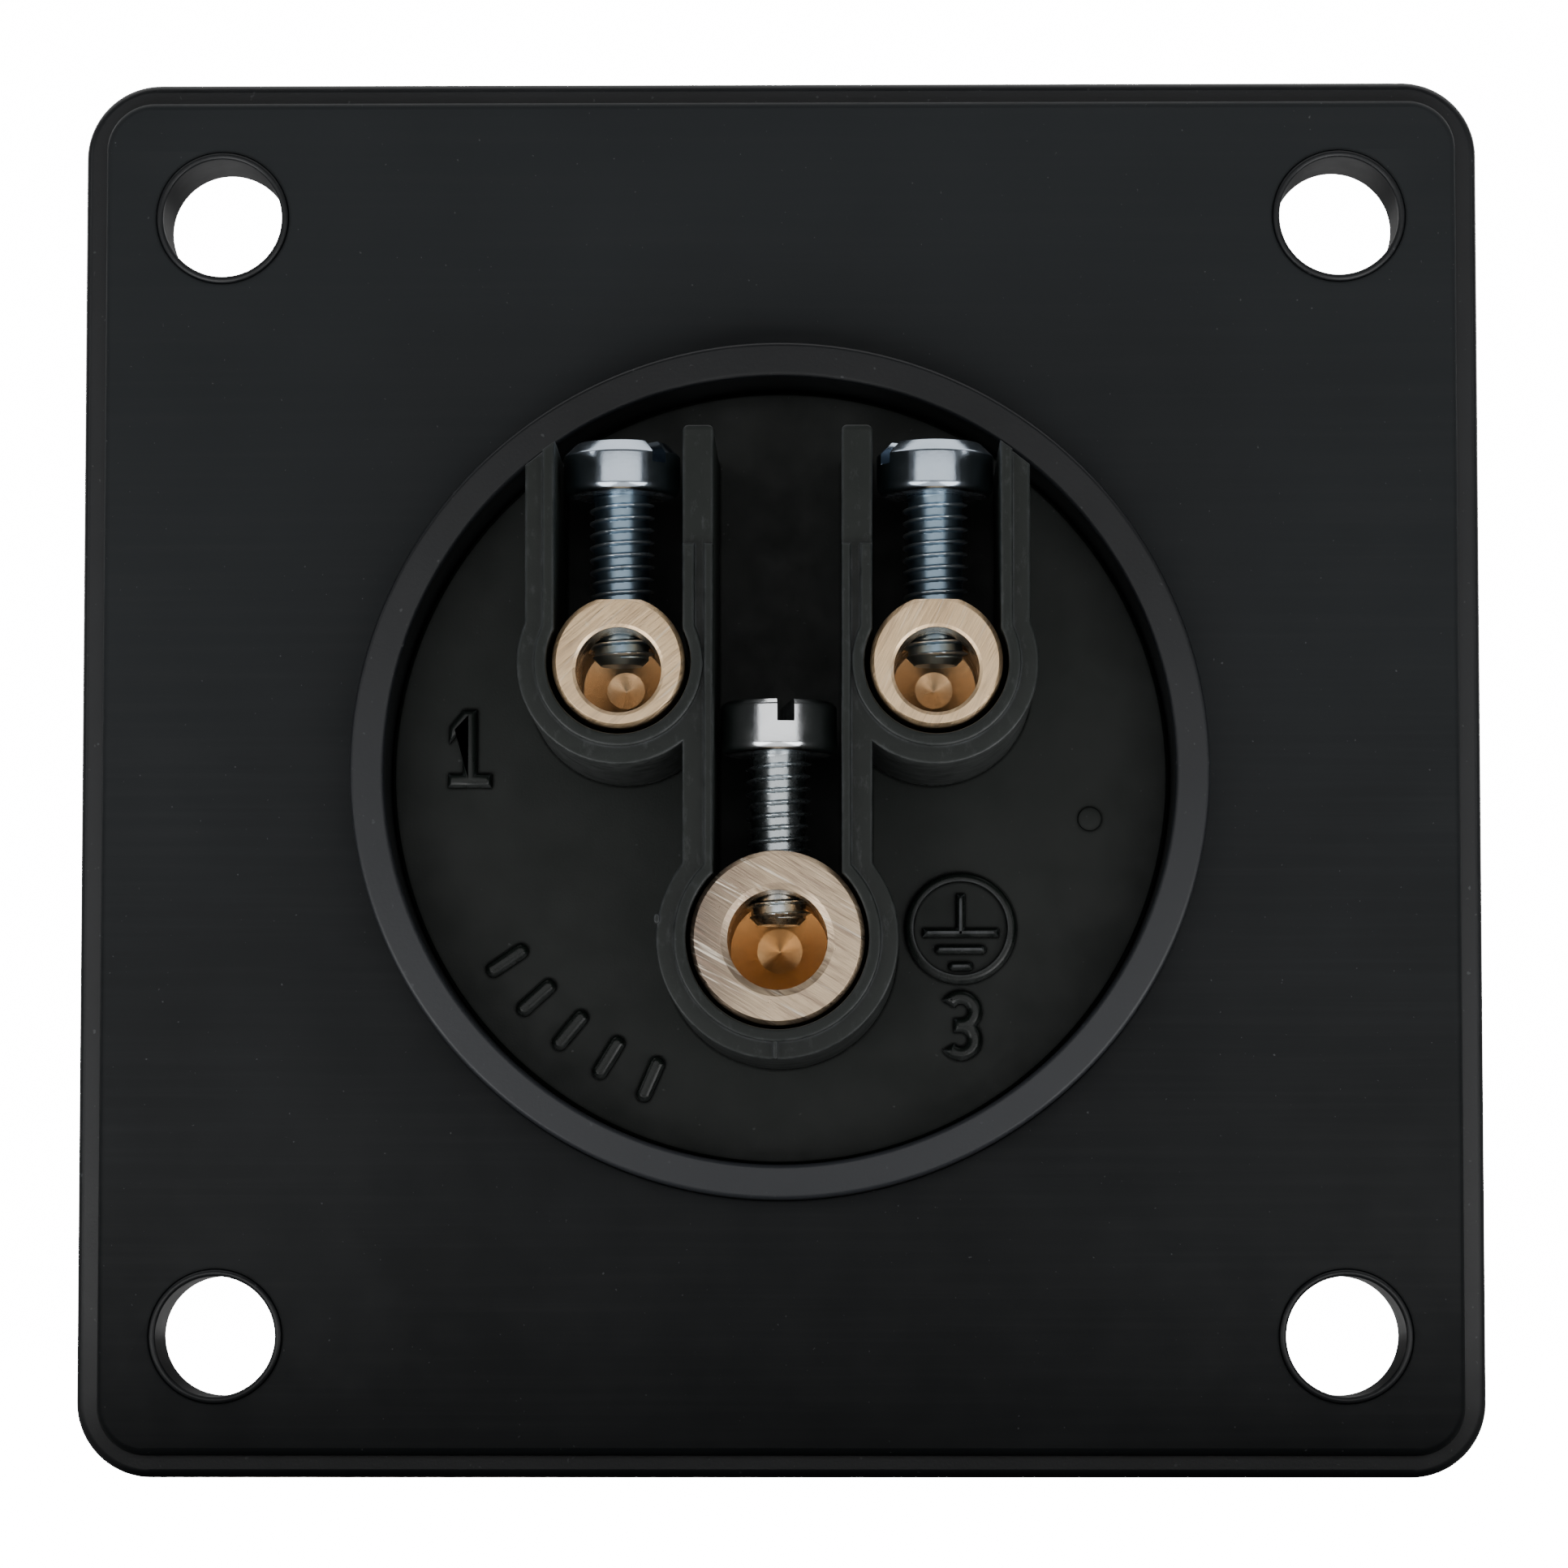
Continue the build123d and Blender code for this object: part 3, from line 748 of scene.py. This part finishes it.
def make_thread(p, axis_y):
    """The screw's shank with a helical thread, faded out under the head and at the point."""
    top, tip = p.head_z + THREAD_SINK, p.head_z - SCREW_LENGTH
    rows = int((top - tip) / THREAD_PITCH * THREAD_ROWS)
    shell = Shell()
    rings = [[shell.vertex(p.x, axis_y, tip)]]
    for k in range(rows + 1):
        z = tip + (top - tip) * k / rows
        limit = THREAD_CREST_R - max(0.0, SCREW_POINT - (z - tip))
        under_head = min(1.0, max(0.0, (p.head_z - z) / THREAD_FADE))
        ring = []
        for i in range(THREAD_SIDES):
            a = 2 * pi * i / THREAD_SIDES
            r = thread_radius((z - tip) / THREAD_PITCH - i / THREAD_SIDES)
            r = min(limit, THREAD_ROOT_R + (r - THREAD_ROOT_R) * under_head)
            ring.append(shell.vertex(p.x + r * cos(a), axis_y + r * sin(a), z))
        rings.append(ring)
    rings.append([shell.vertex(p.x, axis_y, top)])
    shell.join(rings)
    return shell.finish("thread")


def make_screw(p):
    """A slotted cheese-head screw with a real helical thread."""
    axis_y = BARREL_REAR + SCREW_SETBACK
    top = p.head_z + HEAD_HEIGHT
    head = Shell()
    head.turned(soft([
        (0, p.head_z),
        (HEAD_R, p.head_z, HEAD_FOOT),
        (HEAD_R, top - p.head_edge, HEAD_EDGE),
        (HEAD_R - p.head_edge, top, HEAD_EDGE),
        (0, top),
    ], steps=FINE_STEPS), p.x, up=True, upright=axis_y)
    screw = head.finish(f"{p.name}_clamp_screw")
    reach, half = HEAD_R + EMBED, SLOT_WIDTH / 2
    slot = block((-reach, -half, top - SLOT_DEPTH), (reach, half, top + EMBED), SLOT_EDGE)
    c, s = cos(radians(p.slot_angle)), sin(radians(p.slot_angle))
    for v in slot.data.vertices:
        x, y = v.co.x, v.co.y
        v.co.x = p.x * MM + x * c - y * s
        v.co.y = axis_y * MM + x * s + y * c
    combine(screw, slot, "DIFFERENCE")
    return combine(screw, make_thread(p, axis_y), "UNION")


# ---- materials -------------------------------------------------------------------------------

# Base colours, as the two tones that a soft noise mixes.
HOUSING_TONES = (0.0052, 0.0060, 0.0070), (0.0085, 0.0095, 0.0110)
PLATE_TONES = (0.012, 0.013, 0.014), (0.018, 0.019, 0.020)
INSERT_TONES = (0.0038, 0.0060, 0.0047), (0.0058, 0.0084, 0.0068)
GASKET_TONES = (0.0062, 0.0073, 0.0080), (0.0095, 0.0109, 0.0119)
SEAL_TONES = (0.012, 0.012, 0.012), (0.022, 0.022, 0.022)
SPRING_TONES = (0.25, 0.25, 0.26), (0.38, 0.38, 0.39)
BRASS_TONES = (0.71, 0.50, 0.29), (0.83, 0.61, 0.37)
EARTH_BRASS_TONES = (0.54, 0.41, 0.28), (0.66, 0.51, 0.35)
HEAD_TONES = (0.42, 0.49, 0.57), (0.51, 0.58, 0.66)
EARTH_HEAD_TONES = (0.80, 0.83, 0.86), (0.90, 0.92, 0.94)
# The thread's roots: blue zinc, darkened by painted shade in the grooves.
ROOT_TONES_AND_SHADE = (0.24, 0.33, 0.41), (0.30, 0.40, 0.49)
EARTH_ROOT_TONES_AND_SHADE = (0.44, 0.48, 0.50), (0.54, 0.58, 0.60)
STAGE_TONES = (0.86, 0.86, 0.86), (0.9, 0.9, 0.9)

# Colours laid over them.
HOUSING_SPECK = (0.11, 0.115, 0.12)
# Painted sheen on the rear ring's face, stronger towards the bottom.
RING_PAINTED_SHEEN = (0.034, 0.037, 0.043)
WALL_RUB = (0.07, 0.075, 0.077)
# Painted highlight along the edges of the insert's walls and marks.
EDGE_PAINTED_HIGHLIGHT = (0.075, 0.080, 0.086)
# Painted light on the downward-facing sides of the walls and marks.
UNDERSIDE_PAINTED_LIGHT = (0.040, 0.043, 0.042)
# Painted shade in the corners where the walls and marks meet the floor.
FOOT_PAINTED_SHADE = (0.002, 0.002, 0.002)
PALE_DUST = (0.12, 0.125, 0.13)
# Painted light that brightens the gasket towards the top.
GASKET_TOP_PAINTED_LIGHT = (0.032, 0.036, 0.039)
GASKET_LINE = (0.024, 0.025, 0.026)
# Painted shade along the gasket's edges and round its holes.
GASKET_RIM_PAINTED_SHADE = (0.003, 0.0035, 0.004)
# Darkens the earth barrel's face towards the left.
EARTH_LEFT_DARKENING = (0.17, 0.135, 0.11)
SAW_GROOVE = (0.32, 0.23, 0.17)
BRIGHT_SCRATCH = (0.86, 0.76, 0.62)
BRASS_NICK = (0.82, 0.70, 0.52)
# The bores' gold: partly the brass's own colour, partly painted light bouncing inside them.
BORE_GOLD_AND_BOUNCE_LIGHT = (0.76, 0.68, 0.58)
EARTH_BORE_GOLD_AND_BOUNCE_LIGHT = (0.84, 0.65, 0.44)
# Painted highlight on the thread's crests.
THREAD_CREST_HIGHLIGHT = (0.80, 0.86, 0.90)
DULL_ZINC = (0.45, 0.48, 0.52)
STAGE_UNSEEN = (0.3, 0.3, 0.3)

POLYMER_IOR = 1.5
NOISE_MIDDLE = (0.3, 0.7)
CORNER_TURN = (0.99, 0.85)
CORNER_SAMPLES = 4
SAW_ANGLES = {"line": 40, "neutral": 62, "earth": -32}


class Material:
    """A procedural material, built node by node. Sizes are in millimetres on the object."""

    def __init__(self, name):
        self.material = bpy.data.materials.new(name)
        self.material.use_nodes = True
        self.tree = self.material.node_tree
        self.shader = self.tree.nodes["Principled BSDF"]
        self.place = self.node("ShaderNodeTexCoord").outputs["Object"]

    def node(self, kind, **values):
        made = self.tree.nodes.new(kind)
        for key, value in values.items():
            if hasattr(made, key):
                setattr(made, key, value)
            else:
                made.inputs[key].default_value = value
        return made

    def link(self, source, target):
        self.tree.links.new(source, target)

    def axis(self, vector, name):
        """One axis of a vector."""
        split = self.node("ShaderNodeSeparateXYZ")
        self.link(vector, split.inputs[0])
        return split.outputs[name]

    def stretched(self, scale, rotation, offset):
        """The place on the object in millimetres, turned, then stretched and moved."""
        turned = self.node("ShaderNodeMapping")
        turned.inputs["Rotation"].default_value = [radians(r) for r in rotation]
        self.link(self.place, turned.inputs["Vector"])
        sized = self.node("ShaderNodeMapping")
        sized.inputs["Scale"].default_value = [s / MM for s in scale]
        sized.inputs["Location"].default_value = offset
        self.link(turned.outputs["Vector"], sized.inputs["Vector"])
        return sized.outputs["Vector"]

    def noise(self, size, detail=3.0, roughness=0.5,
              scale=(1, 1, 1), rotation=(0, 0, 0), offset=(0, 0, 0)):
        """Noise whose features are about size millimetres across."""
        made = self.node("ShaderNodeTexNoise", Scale=1.0 / size, Detail=detail, Roughness=roughness)
        self.link(self.stretched(scale, rotation, offset), made.inputs["Vector"])
        return made.outputs["Fac"]

    def ramp(self, value, low, high, to_low=0.0, to_high=1.0):
        """A value's stretch from low to high, spread over to_low to to_high."""
        made = self.node("ShaderNodeMapRange")
        made.inputs["From Min"].default_value = low
        made.inputs["From Max"].default_value = high
        made.inputs["To Min"].default_value = to_low
        made.inputs["To Max"].default_value = to_high
        self.link(value, made.inputs["Value"])
        return made.outputs["Result"]

    def zone(self, axis, start, end, to_low=0.0, to_high=1.0):
        """A mask along one of the object's axes, from start to end in millimetres."""
        return self.ramp(self.axis(self.place, axis), start * MM, end * MM, to_low, to_high)

    def round_zone(self, centre, across, start, end):
        """A mask by the distance from an axis through centre, from start to end in millimetres. The
        axis runs along the one direction that across leaves out."""
        spot = self.node("ShaderNodeVectorMath", operation="SUBTRACT")
        self.link(self.place, spot.inputs[0])
        spot.inputs[1].default_value = Vector(centre) * MM
        flat = self.node("ShaderNodeVectorMath", operation="MULTIPLY")
        self.link(spot.outputs[0], flat.inputs[0])
        flat.inputs[1].default_value = across
        reach = self.node("ShaderNodeVectorMath", operation="LENGTH")
        self.link(flat.outputs[0], reach.inputs[0])
        return self.ramp(reach.outputs["Value"], start * MM, end * MM)

    def mix(self, share, first, second):
        """Two colours or colour outputs, mixed."""
        made = self.node("ShaderNodeMix", data_type="RGBA")
        self.link(share, made.inputs["Factor"])
        for key, value in (("A", first), ("B", second)):
            socket = [s for s in made.inputs if s.name == key and s.type == "RGBA"][0]
            if isinstance(value, tuple):
                socket.default_value = (*value, 1)
            else:
                self.link(value, socket)
        return [s for s in made.outputs if s.type == "RGBA"][0]

    def math(self, operation, first, second):
        made = self.node("ShaderNodeMath", operation=operation)
        for socket, value in zip(made.inputs, (first, second)):
            if isinstance(value, (int, float)):
                socket.default_value = value
            else:
                self.link(value, socket)
        return made.outputs[0]

    def times(self, first, second):
        return self.math("MULTIPLY", first, second)

    def without(self, mask):
        """A mask turned round."""
        return self.math("SUBTRACT", 1.0, mask)

    def cloudy(self, tones, size, detail=3.0):
        """Two tones mixed by a soft noise."""
        return self.mix(self.uneven(0.0, 1.0, size, detail), *tones)

    def uneven(self, low, high, size, detail=3.0, roughness=0.5):
        """A value that a soft noise spreads from low to high."""
        return self.ramp(self.noise(size, detail, roughness), *NOISE_MIDDLE, low, high)

    def tint(self, color, mask, share, over):
        """A colour with another laid over it by a mask, at the most by a share."""
        return self.mix(self.times(mask, share), color, over)

    def bump(self, height, distance, below=None):
        """A bump of distance millimetres, over another bump if given."""
        made = self.node("ShaderNodeBump", Distance=distance * MM)
        self.link(height, made.inputs["Height"])
        if below:
            self.link(below, made.inputs["Normal"])
        return made.outputs["Normal"]

    def corners(self, reach):
        """How near a corner the surface is, 0 to 1, within reach millimetres."""
        eased = self.node("ShaderNodeBevel", samples=CORNER_SAMPLES, Radius=reach * MM)
        geometry = self.node("ShaderNodeNewGeometry")
        turn = self.node("ShaderNodeVectorMath", operation="DOT_PRODUCT")
        self.link(eased.outputs["Normal"], turn.inputs[0])
        self.link(geometry.outputs["Normal"], turn.inputs[1])
        return self.ramp(turn.outputs["Value"], *CORNER_TURN)

    def finish(self, color, roughness, normal, **constants):
        self.link(color, self.shader.inputs["Base Color"])
        self.link(roughness, self.shader.inputs["Roughness"])
        self.link(normal, self.shader.inputs["Normal"])
        for key, value in constants.items():
            self.shader.inputs[key.replace("_", " ")].default_value = value
        return self.material


def moulded_plastic(name, tones, smoothest, roughest, grain, grain_depth, gloss):
    """Black moulded polyamide: a fine spark texture, faint flow shading, a painted sheen on the ring's
    rear face that grows towards the bottom, and specks.
    """
    m = Material(name)
    color = m.cloudy(tones, 9.0, 4.0)
    speck = m.ramp(m.noise(0.35, 1.0, offset=(7, 3, 1)), 0.74, 0.8)
    color = m.tint(color, speck, 0.35, HOUSING_SPECK)
    ring_end = m.zone("Y", RING_REAR + 1, RING_REAR + 0.8)
    # Painted sheen: the ring's rear face is lightened towards the bottom.
    color = m.tint(color, ring_end, m.zone("Z", 8, -22, 0.0, 0.6), RING_PAINTED_SHEEN)
    roughness = m.ramp(m.noise(2.2), 0.1, 0.9, smoothest, roughest)
    slow = m.bump(m.noise(12.0, 1.0), 0.04)
    fine = m.bump(m.noise(grain, 2.0), grain_depth, below=slow)
    return m.finish(color, roughness, fine, IOR=POLYMER_IOR, Specular_IOR_Level=gloss)


def insert_plastic():
    """The insert's plastic: matt inside, rubbed on the walls' rear ends, with painted highlights along
    the edges of the walls and marks, painted light on their downward-facing sides and painted shade
    where they meet the floor.
    """
    m = Material("carrier_plastic")
    end = m.zone("Y", WALL_REAR + 0.6, WALL_REAR)
    raised = m.zone("Y", FLOOR - 0.1, FLOOR - 0.25)
    color = m.cloudy(INSERT_TONES, 7.0, 4.0)
    rub = m.ramp(m.noise(0.45, 4.0, 0.7, scale=(1, 1, 0.45)), 0.56, 0.8)
    color = m.tint(color, m.times(rub, end), 0.4, WALL_RUB)
    patchy = m.ramp(m.noise(0.8, 3.0, 0.6), 0.3, 0.6, 0.25, 1.0)
    # Painted highlight: pale patches along the edges of the walls and marks.
    corner = m.times(m.times(m.corners(0.22), patchy), raised)
    color = m.tint(color, corner, 0.8, EDGE_PAINTED_HIGHLIGHT)
    facing = m.axis(m.node("ShaderNodeNewGeometry").outputs["Normal"], "Z")
    # Painted light: the downward-facing sides of the walls and marks are lightened.
    underside = m.times(m.ramp(facing, -0.1, -0.6), raised)
    color = m.tint(color, underside, patchy, UNDERSIDE_PAINTED_LIGHT)
    speck = m.ramp(m.noise(0.3, 1.0, offset=(3, 8, 5)), 0.78, 0.84)
    color = m.tint(color, speck, 0.3, PALE_DUST)
    # Painted shade where the walls and marks meet the floor, with the gloss turned down there too.
    foot = m.times(m.corners(0.3), m.without(raised))
    color = m.mix(foot, color, FOOT_PAINTED_SHADE)
    m.link(m.ramp(foot, 0.0, 1.0, 0.3, 0.0), m.shader.inputs["Specular IOR Level"])
    matt = m.times(m.uneven(0.46, 0.6, 2.2, 5.0, 0.6), m.without(end))
    rubbed = m.times(m.uneven(0.32, 0.5, 0.9, 5.0, 0.7), end)
    mark_top = FLOOR - MARK_RELIEF
    mark = m.times(raised, m.zone("Y", mark_top - 0.2, mark_top - 0.1))
    roughness = m.math("SUBTRACT", m.math("ADD", matt, rubbed), m.times(mark, 0.26))
    slow = m.bump(m.noise(5.0, 2.0), 0.04)
    fine = m.bump(m.noise(0.12, 2.0), 0.006, below=slow)
    return m.finish(color, roughness, fine, IOR=POLYMER_IOR)


def gasket_rubber():
    """Black rubber sheet: painted light that brightens it towards the top, faint lines across it, dust,
    and painted shade along its edges.
    """
    m = Material("gasket_rubber")
    color = m.cloudy(GASKET_TONES, 14.0, 4.0)
    # Painted light: the gasket is lightened towards the top.
    color = m.mix(m.zone("Z", -14, 30, 0.0, 0.3), color, GASKET_TOP_PAINTED_LIGHT)
    lines = m.noise(0.5, 3.0, 0.6, scale=(0.02, 1, 1))
    color = m.tint(color, m.ramp(lines, 0.45, 0.75), 0.2, GASKET_LINE)
    dust = m.ramp(m.noise(0.22, 1.0, offset=(2, 5, 9)), 0.77, 0.82)
    color = m.tint(color, dust, 0.5, PALE_DUST)
    # Painted shade along the gasket's edges and round its holes, with its gloss turned down there.
    rim = m.corners(0.25)
    color = m.mix(rim, color, GASKET_RIM_PAINTED_SHADE)
    m.link(m.ramp(rim, 0.0, 1.0, 0.13, 0.02), m.shader.inputs["Specular IOR Level"])
    roughness = m.uneven(0.40, 0.52, 3.0, 5.0, 0.65)
    waves = m.bump(m.noise(10.0, 2.0), 0.12)
    fine = m.bump(lines, 0.004, below=waves)
    grain = m.bump(m.noise(0.12, 2.0), 0.003, below=fine)
    return m.finish(color, roughness, grain, IOR=POLYMER_IOR)


def worked_brass(p):
    """Bare brass: a sawn face with straight scratches, and a smoother drilled bore in a brighter gold
    that is partly the brass's own colour and partly painted light bouncing inside the bore.
    """
    m = Material(f"brass_{p.name}")
    earth = p is EARTH
    inside = m.round_zone((p.x, 0, p.bore_z), (1, 0, 1), p.bore_r + 0.02, p.bore_r - 0.02)
    color = m.cloudy(EARTH_BRASS_TONES if earth else BRASS_TONES, 2.4, 4.0)
    if earth:
        # The earth barrel's face grows darker towards the left.
        color = m.mix(m.zone("X", p.x - 0.3, p.x - 4.0, 0.0, 0.95), color, EARTH_LEFT_DARKENING)
    angle, depth = SAW_ANGLES[p.name], 0.9 if earth else 0.45
    saw = m.noise(0.2, 4.0, 0.65, scale=(0.06, 0.3, 1), rotation=(0, angle, 0))
    color = m.tint(color, m.ramp(saw, 0.46, 0.66), depth, SAW_GROOVE)
    bright = m.noise(0.25, 3.0, 0.6, scale=(0.04, 0.3, 1), rotation=(0, angle + 4, 0), offset=(5, 1, 7))
    color = m.tint(color, m.ramp(bright, 0.6, 0.7), depth, BRIGHT_SCRATCH)
    nick = m.ramp(m.noise(0.5, 2.0, offset=(1, 4, 2)), 0.7, 0.76)
    color = m.tint(color, nick, 0.4, BRASS_NICK)
    # The bore's brighter gold: partly the brass's own colour, partly painted light bouncing inside.
    color = m.mix(inside, color, EARTH_BORE_GOLD_AND_BOUNCE_LIGHT if earth else BORE_GOLD_AND_BOUNCE_LIGHT)
    roughness = m.times(m.uneven(0.26, 0.42, 1.1, 5.0, 0.7), m.ramp(inside, 0.0, 1.0, 1.0, 0.45))
    scratches = m.bump(m.times(saw, m.without(inside)), 0.04)
    fine = m.bump(m.noise(0.06, 2.0), 0.002, below=scratches)
    return m.finish(color, roughness, fine, Metallic=1.0)


def zinc(p):
    """Bright zinc plating: a glossy head, and a thread with bluer, duller roots darkened partly by
    painted shade, and a painted highlight on its crests.
    """
    m = Material(f"zinc_{p.name}")
    earth = p is EARTH
    thread = m.zone("Z", p.head_z + 0.05, p.head_z - 0.05)
    centre = (p.x, BARREL_REAR + SCREW_SETBACK, 0)
    # Painted highlight: the thread's crests are coloured pale.
    crest = m.round_zone(centre, (1, 1, 0), THREAD_ROOT_R + 0.08, THREAD_CREST_R - 0.06)
    head = m.cloudy(EARTH_HEAD_TONES if earth else HEAD_TONES, 1.6, 4.0)
    # The thread's roots: blue zinc darkened by painted shade.
    root = m.cloudy(EARTH_ROOT_TONES_AND_SHADE if earth else ROOT_TONES_AND_SHADE, 1.6, 4.0)
    color = m.mix(thread, head, m.mix(crest, root, THREAD_CREST_HIGHLIGHT))
    dull = m.ramp(m.noise(0.5, 5.0, 0.7), 0.62, 0.75)
    color = m.tint(color, dull, 0.3, DULL_ZINC)
    polish = m.uneven(0.12, 0.24, 0.8, 5.0, 0.7)
    roughness = m.math("ADD", polish, m.times(thread, 0.08 if earth else 0.16))
    fine = m.bump(m.noise(0.25, 4.0, 0.7), 0.004)
    return m.finish(color, roughness, fine, Metallic=1.0)


def seal_rubber():
    m = Material("seal_rubber")
    roughness = m.uneven(0.5, 0.7, 1.0, 4.0)
    grain = m.bump(m.noise(0.2), 0.005)
    return m.finish(m.cloudy(SEAL_TONES, 3.0), roughness, grain, IOR=POLYMER_IOR)


def spring_steel():
    m = Material("spring_steel")
    roughness = m.uneven(0.35, 0.5, 0.5, 4.0)
    grain = m.bump(m.noise(0.1), 0.003)
    return m.finish(m.cloudy(SPRING_TONES, 1.0), roughness, grain, Metallic=1.0)


def dress(obj, material):
    obj.data.materials.clear()
    obj.data.materials.append(material)
    return obj


# ---- putting the object together -------------------------------------------------------------

def place(obj, node, body, material):
    """A finished piece in place of its CAD node."""
    dress(obj, material)
    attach(obj, body)
    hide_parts(node)


def make_object():
    """Every piece with its material, in place of its CAD node or on it."""
    black = moulded_plastic("housing_plastic", HOUSING_TONES, 0.32, 0.44, 0.16, 0.006, gloss=0.36)
    disc = moulded_plastic("plate_plastic", PLATE_TONES, 0.4, 0.55, 0.14, 0.007, gloss=0.4)
    place(make_housing(), "flange_housing", "inlet", black)
    place(make_gasket(), "flange_gasket", "inlet", gasket_rubber())
    place(make_carrier(), "contact_carrier", "inlet", insert_plastic())
    place(make_front_plate(), "front_plate", "inlet", disc)
    for p in POLES:
        place(make_contact(p), f"{p.name}_contact_pin", "inlet", worked_brass(p))
        place(make_screw(p), f"{p.name}_terminal_screw", f"{p.name}_screw", zinc(p))
    steel = spring_steel()
    dress(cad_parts["carrier_seal"], seal_rubber())
    for p in POLES:
        dress(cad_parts[f"{p.name}_retaining_ring"], steel)


# ---- floor, light and camera -----------------------------------------------------------------

STAGE_GAP = 0.05
STAGE_DEPTH = 900.0
STAGE_CURVE_R = 300.0
STAGE_HEIGHT = 1200.0
STAGE_HALF_WIDTH = 1500.0
BACKGROUND_GLOW = 16.0
AMBIENT_GLOW = 0.1

# Each panel's name, centre, size, surface brightness and the point that it faces, in millimetres.
REAR_FACE = (0, -5, 0)
MATING_SIDE = (0, 15, 0)
PANELS = (
    ("front_panel", (0, -480, 36), (760, 200), 1.4, REAR_FACE),
    ("table_left_panel", (-80, -88, -36), (110, 120), 3.8, (-80, -88, 0)),
    ("table_right_panel", (80, -88, -36), (110, 120), 3.8, (80, -88, 0)),
    ("table_middle_panel", (0, -88, -36), (50, 120), 0.7, (0, -88, 0)),
    ("top_panel", (0, 60, 300), (700, 420), 1.5, REAR_FACE),
    ("left_strip", (-330, -190, 40), (50, 300), 3.0, REAR_FACE),
    ("right_strip", (330, -190, 40), (50, 300), 2.4, REAR_FACE),
    ("back_left_panel", (-320, 330, 160), (260, 260), 4.0, MATING_SIDE),
    ("back_right_panel", (320, 330, 160), (260, 260), 4.0, MATING_SIDE),
    ("back_panel", (0, 380, 320), (420, 160), 2.5, MATING_SIDE),
)

# The photograph's viewpoint, in millimetres.
CAMERA_AT = (3.8, -300.0, -27.7)
CAMERA_TARGET = (0.2, 0, -7.24)
CAMERA_SENSOR = 36
CAMERA_SHIFT = 0.08
FRAMED_WIDTH = 83.64


def make_stage():
    """A pale floor that curves up into a pale wall far behind."""
    floor_z = HOUSING_LOW.z - STAGE_GAP
    line = [(-STAGE_DEPTH, floor_z)]
    line += arc(STAGE_DEPTH - STAGE_CURVE_R, floor_z + STAGE_CURVE_R, STAGE_CURVE_R, -90, 0, 10)
    line += [(STAGE_DEPTH, floor_z + STAGE_HEIGHT)]
    bm = bmesh.new()
    left, right = [
        [bm.verts.new(Vector((x, y, z)) * MM) for y, z in line]
        for x in (-STAGE_HALF_WIDTH, STAGE_HALF_WIDTH)
    ]
    for i in range(len(line) - 1):
        bm.faces.new((left[i], right[i], right[i + 1], left[i + 1]))
    obj = mesh_object("stage_floor", bm)
    obj.data.shade_smooth()
    m = Material("pale_floor")
    seen = m.node("ShaderNodeLightPath").outputs["Is Camera Ray"]
    color = m.mix(seen, STAGE_UNSEEN, m.cloudy(STAGE_TONES, 60.0))
    roughness = m.uneven(0.8, 0.95, 30.0)
    m.finish(color, roughness, m.bump(m.noise(5.0), 0.05), Emission_Color=(1, 1, 1, 1))
    m.link(m.ramp(seen, 0.0, 1.0, 0.0, BACKGROUND_GLOW), m.shader.inputs["Emission Strength"])
    dress(obj, m.material)


def aim(obj, at, target):
    """Puts a light or camera at a point, facing another, in millimetres."""
    obj.location = Vector(at) * MM
    obj.rotation_euler = (Vector(target) * MM - obj.location).to_track_quat("-Z", "Y").to_euler()


def area_light(name, at, size, radiance, target):
    """A soft rectangular light of a given surface brightness, aimed at a target."""
    light = bpy.data.lights.new(name, "AREA")
    light.shape = "RECTANGLE"
    light.size, light.size_y = size[0] * MM, size[1] * MM
    light.energy = radiance * pi * light.size * light.size_y
    aim(new_object(name, light), at, target)


def make_lights():
    """Dim surroundings, and the soft panels. The background is white to the camera only."""
    world = bpy.data.worlds.new("studio")
    world.use_nodes = True
    tree = world.node_tree
    background = tree.nodes["Background"]
    background.inputs["Color"].default_value = (1, 1, 1, 1)
    path = tree.nodes.new("ShaderNodeLightPath")
    glow = tree.nodes.new("ShaderNodeMapRange")
    glow.inputs["To Min"].default_value = AMBIENT_GLOW
    glow.inputs["To Max"].default_value = BACKGROUND_GLOW
    tree.links.new(path.outputs["Is Camera Ray"], glow.inputs["Value"])
    tree.links.new(glow.outputs["Result"], background.inputs["Strength"])
    bpy.context.scene.world = world
    for panel in PANELS:
        area_light(*panel)


def make_camera():
    """The photograph's viewpoint: in front of the wiring side, a little below its middle."""
    camera = bpy.data.cameras.new("camera")
    camera.sensor_width = CAMERA_SENSOR
    camera.lens = CAMERA_SENSOR * -CAMERA_AT[1] / FRAMED_WIDTH
    camera.clip_start = 0.01
    camera.clip_end = 20
    camera.shift_y = CAMERA_SHIFT
    obj = new_object("camera", camera)
    aim(obj, CAMERA_AT, CAMERA_TARGET)
    bpy.context.scene.camera = obj


make_object()
make_stage()
make_lights()
make_camera()
